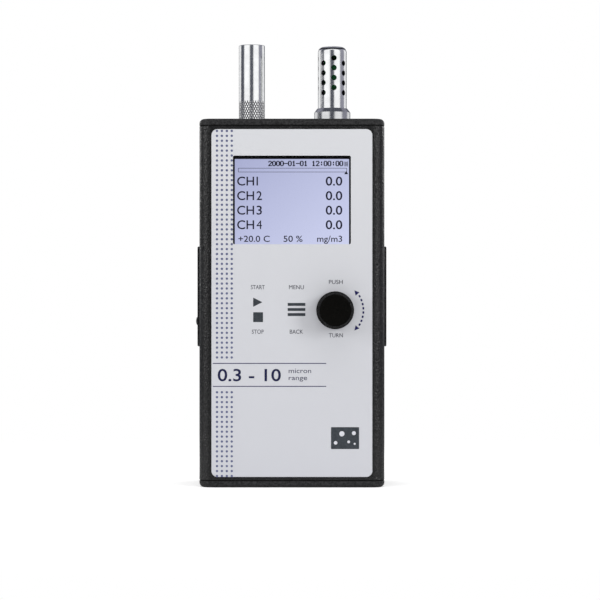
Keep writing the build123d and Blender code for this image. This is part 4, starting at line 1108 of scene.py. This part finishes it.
class COUNTER_OT_stage(CounterOperator, bpy.types.Operator):
    """Floor, sky, softboxes, dark studio cards and the camera."""

    bl_idname = "counter.stage"
    bl_label = "Stage"

    def execute(self, context):
        scene = context.scene
        scene.view_settings.view_transform = "Standard"
        world = bpy.data.worlds.new("studio_sky")
        scene.world = world
        world.use_nodes = True
        tree = world.node_tree
        sky = tree.nodes["Background"]
        sky.inputs["Color"].default_value = (*settings().sky_tint, 1.0)
        ray = add_node(tree, "ShaderNodeLightPath").outputs
        seen = ray["Is Camera Ray"]
        for kind in ("Is Glossy Ray", "Is Transmission Ray"):
            links = {0: seen, 1: ray[kind]}
            seen = add_node(tree, "ShaderNodeMath", links, operation="MAXIMUM").outputs[0]
        # the camera, mirrors and clear pieces see the sky at full strength; surfaces are lit by less
        lit = add_node(tree, "ShaderNodeMapRange", {"Value": seen}, {"To Min": settings().sky_light})
        tree.links.new(lit.outputs["Result"], sky.inputs["Strength"])
        self.floor()
        self.lamps()
        self.cards()
        self.camera(scene)
        return {"FINISHED"}

    def floor(self):
        """A wide pale sheet under the object that keeps its shadow."""
        made, tree, principled, place = new_material(
            "white_paper_sweep",
            Roughness=0.9,
            Base_Color=linear("FFFFFF"),
            Specular_IOR_Level=0.0,
            Emission_Color=linear("FFFFFF"),
        )
        ray = add_node(tree, "ShaderNodeLightPath").outputs
        own_glow, fade_from, fade_to = 0.3, 0.14, 0.4
        seen = {0: ray["Is Camera Ray"]}
        glow = add_node(tree, "ShaderNodeMath", seen, {1: own_glow}, operation="MULTIPLY")
        feed(tree, principled, Emission_Strength=glow.outputs[0])
        # the sheet fades into the white round it, so its far edge doesn't show
        far = add_node(tree, "ShaderNodeVectorMath", {0: place}, operation="LENGTH").outputs["Value"]
        limits = {"From Min": fade_from, "From Max": fade_to}
        fade = add_node(
            tree, "ShaderNodeMapRange", {"Value": far}, limits, interpolation_type="SMOOTHSTEP"
        )
        clear = add_node(tree, "ShaderNodeBsdfTransparent")
        both = {0: fade.outputs["Result"], 1: principled.outputs["BSDF"], 2: clear.outputs["BSDF"]}
        mixed = add_node(tree, "ShaderNodeMixShader", both)
        tree.links.new(mixed.outputs["Shader"], tree.nodes["Material Output"].inputs["Surface"])
        sheet("paper_sweep", (0, 0, 0), (0.5, 0, 0), (0, 0.5, 0), made)

    def lamps(self):
        """A strip of light at either side, one behind each edge and a soft one overhead."""
        power = settings().key_light
        lamps = []
        distance, height, aim, size = 1.2, 0.47, (0, 0, 0.14), (0.34, 0.56)
        for name, bearing in (("left_softbox", -64), ("right_softbox", 46)):
            lamps.append(softbox(name, around(bearing, distance, height), aim, size, power))
        lamps.append(softbox("overhead_softbox", (0, -0.5, 1.5), (0, 0, 0.1), (1.2, 0.8), power * 0.8))
        distance, height, aim, size = 1.1, 0.42, (0, 0, 0.2), (0.16, 0.2)
        for name, bearing in (("left_rim_light", -143), ("right_rim_light", 140)):
            lamps.append(softbox(name, around(bearing, distance, height), aim, size, power * 0.3))
        # polished metal mirrors the cards and the sky, and no lamp glares in it
        polished = bpy.data.collections.new("polished_metal")
        for name in ("nozzle_tube", "sensor_tube", "sensor_collar"):
            polished.objects.link(bpy.data.objects[name])
        for member in polished.collection_objects:
            member.light_linking.link_state = "EXCLUDE"
        for lamp in lamps:
            lamp.light_linking.receiver_collection = polished

    def cards(self):
        """What polished metal mirrors, by its bearing round the object: dark flags and bright cards."""
        dark = emissive("black_flag", "5C5F68", 1.0)
        grey = emissive("grey_flag", "9C9CA8", 1.0)
        bright = emissive("bright_card", "FFFFFF", 1.25)
        full, low, high = (-0.6, 1.8), (-0.7, 0.12), (0.24, 1.5)
        # behind the case, so its edges mirror dark, and above, so the edges of the polished tubes do
        behind, behind_above = (-0.6, 0.15), (0.26, 1.5)
        cards = (
            ("camera_flag", (-16, 13), 2.2, full, dark),
            ("left_flag", (-110, -72), 1.3, full, dark),
            ("right_flag", (66, 108), 1.3, full, grey),
            ("left_bright_card", (-66, -24), 1.5, high, bright),
            ("right_bright_card", (20, 60), 1.5, high, bright),
            ("left_low_flag", (-72, -16), 1.5, low, dark),
            ("right_low_flag", (13, 66), 1.5, low, dark),
            ("left_back_flag", (-180, -104), 1.3, behind, dark),
            ("right_back_flag", (104, 180), 1.3, behind, dark),
            ("left_edge_flag", (-178, -152), 1.3, behind_above, dark),
            ("right_edge_flag", (142, 178), 1.3, behind_above, dark),
        )
        for card in cards:
            standing_card(*card)
        studio_card("front_ceiling_flag", (0, -0.3, 1.3), (2.2, 0, 0), (0, 0.55, 0), dark)
        studio_card("back_ceiling_flag", (0, 1.35, 1.3), (2.2, 0, 0), (0, 1.1, 0), grey)

    def camera(self, scene):
        """Long lens level with the middle of the case, a little right of it."""
        data = bpy.data.cameras.new("front_camera")
        data.lens = 135.0
        data.sensor_width = 36.0
        frame_width, right_of_middle, camera_height = 0.2991, 0.00404, 0.0936
        front = span("housing")[0][1]
        distance = frame_width * data.lens / data.sensor_width
        camera = bpy.data.objects.new("front_camera", data)
        camera.location = (right_of_middle, front - distance, camera_height)
        camera.rotation_euler = (radians(90), 0, 0)
        scene.collection.objects.link(camera)
        scene.camera = camera


# ---------------------------------------------------------------- panel and run

OPERATORS = (
    COUNTER_OT_finishes,
    COUNTER_OT_housing,
    COUNTER_OT_caps,
    COUNTER_OT_dots,
    COUNTER_OT_title_band,
    COUNTER_OT_legends,
    COUNTER_OT_display,
    COUNTER_OT_dial,
    COUNTER_OT_power_button,
    COUNTER_OT_nozzle,
    COUNTER_OT_air_sensor,
    COUNTER_OT_stage,
)


class COUNTER_PT_panel(bpy.types.Panel):
    """Lists the operators and the settings."""

    bl_label = "Particle counter"
    bl_idname = "COUNTER_PT_panel"
    bl_space_type = "VIEW_3D"
    bl_region_type = "UI"
    bl_category = "Counter"

    def draw(self, context):
        for name in CounterSettings.__annotations__:
            self.layout.prop(context.scene.counter_settings, name)
        for operator in OPERATORS:
            self.layout.operator(operator.bl_idname)


def register():
    """Registers the settings, the operators and the panel."""
    for each in (CounterSettings, *OPERATORS, COUNTER_PT_panel):
        bpy.utils.register_class(each)
    bpy.types.Scene.counter_settings = PointerProperty(type=CounterSettings)


def unregister():
    """Takes away what register added."""
    del bpy.types.Scene.counter_settings
    for each in reversed((CounterSettings, *OPERATORS, COUNTER_PT_panel)):
        bpy.utils.unregister_class(each)


def main():
    """Makes every piece in order."""
    register()
    bpy.ops.counter.finishes()
    bpy.ops.counter.housing()
    bpy.ops.counter.caps()
    bpy.ops.counter.dots()
    bpy.ops.counter.title_band()
    bpy.ops.counter.legends()
    bpy.ops.counter.display()
    bpy.ops.counter.dial()
    bpy.ops.counter.power_button()
    bpy.ops.counter.nozzle()
    bpy.ops.counter.air_sensor()
    bpy.ops.counter.stage()


if __name__ == "__main__":
    main()
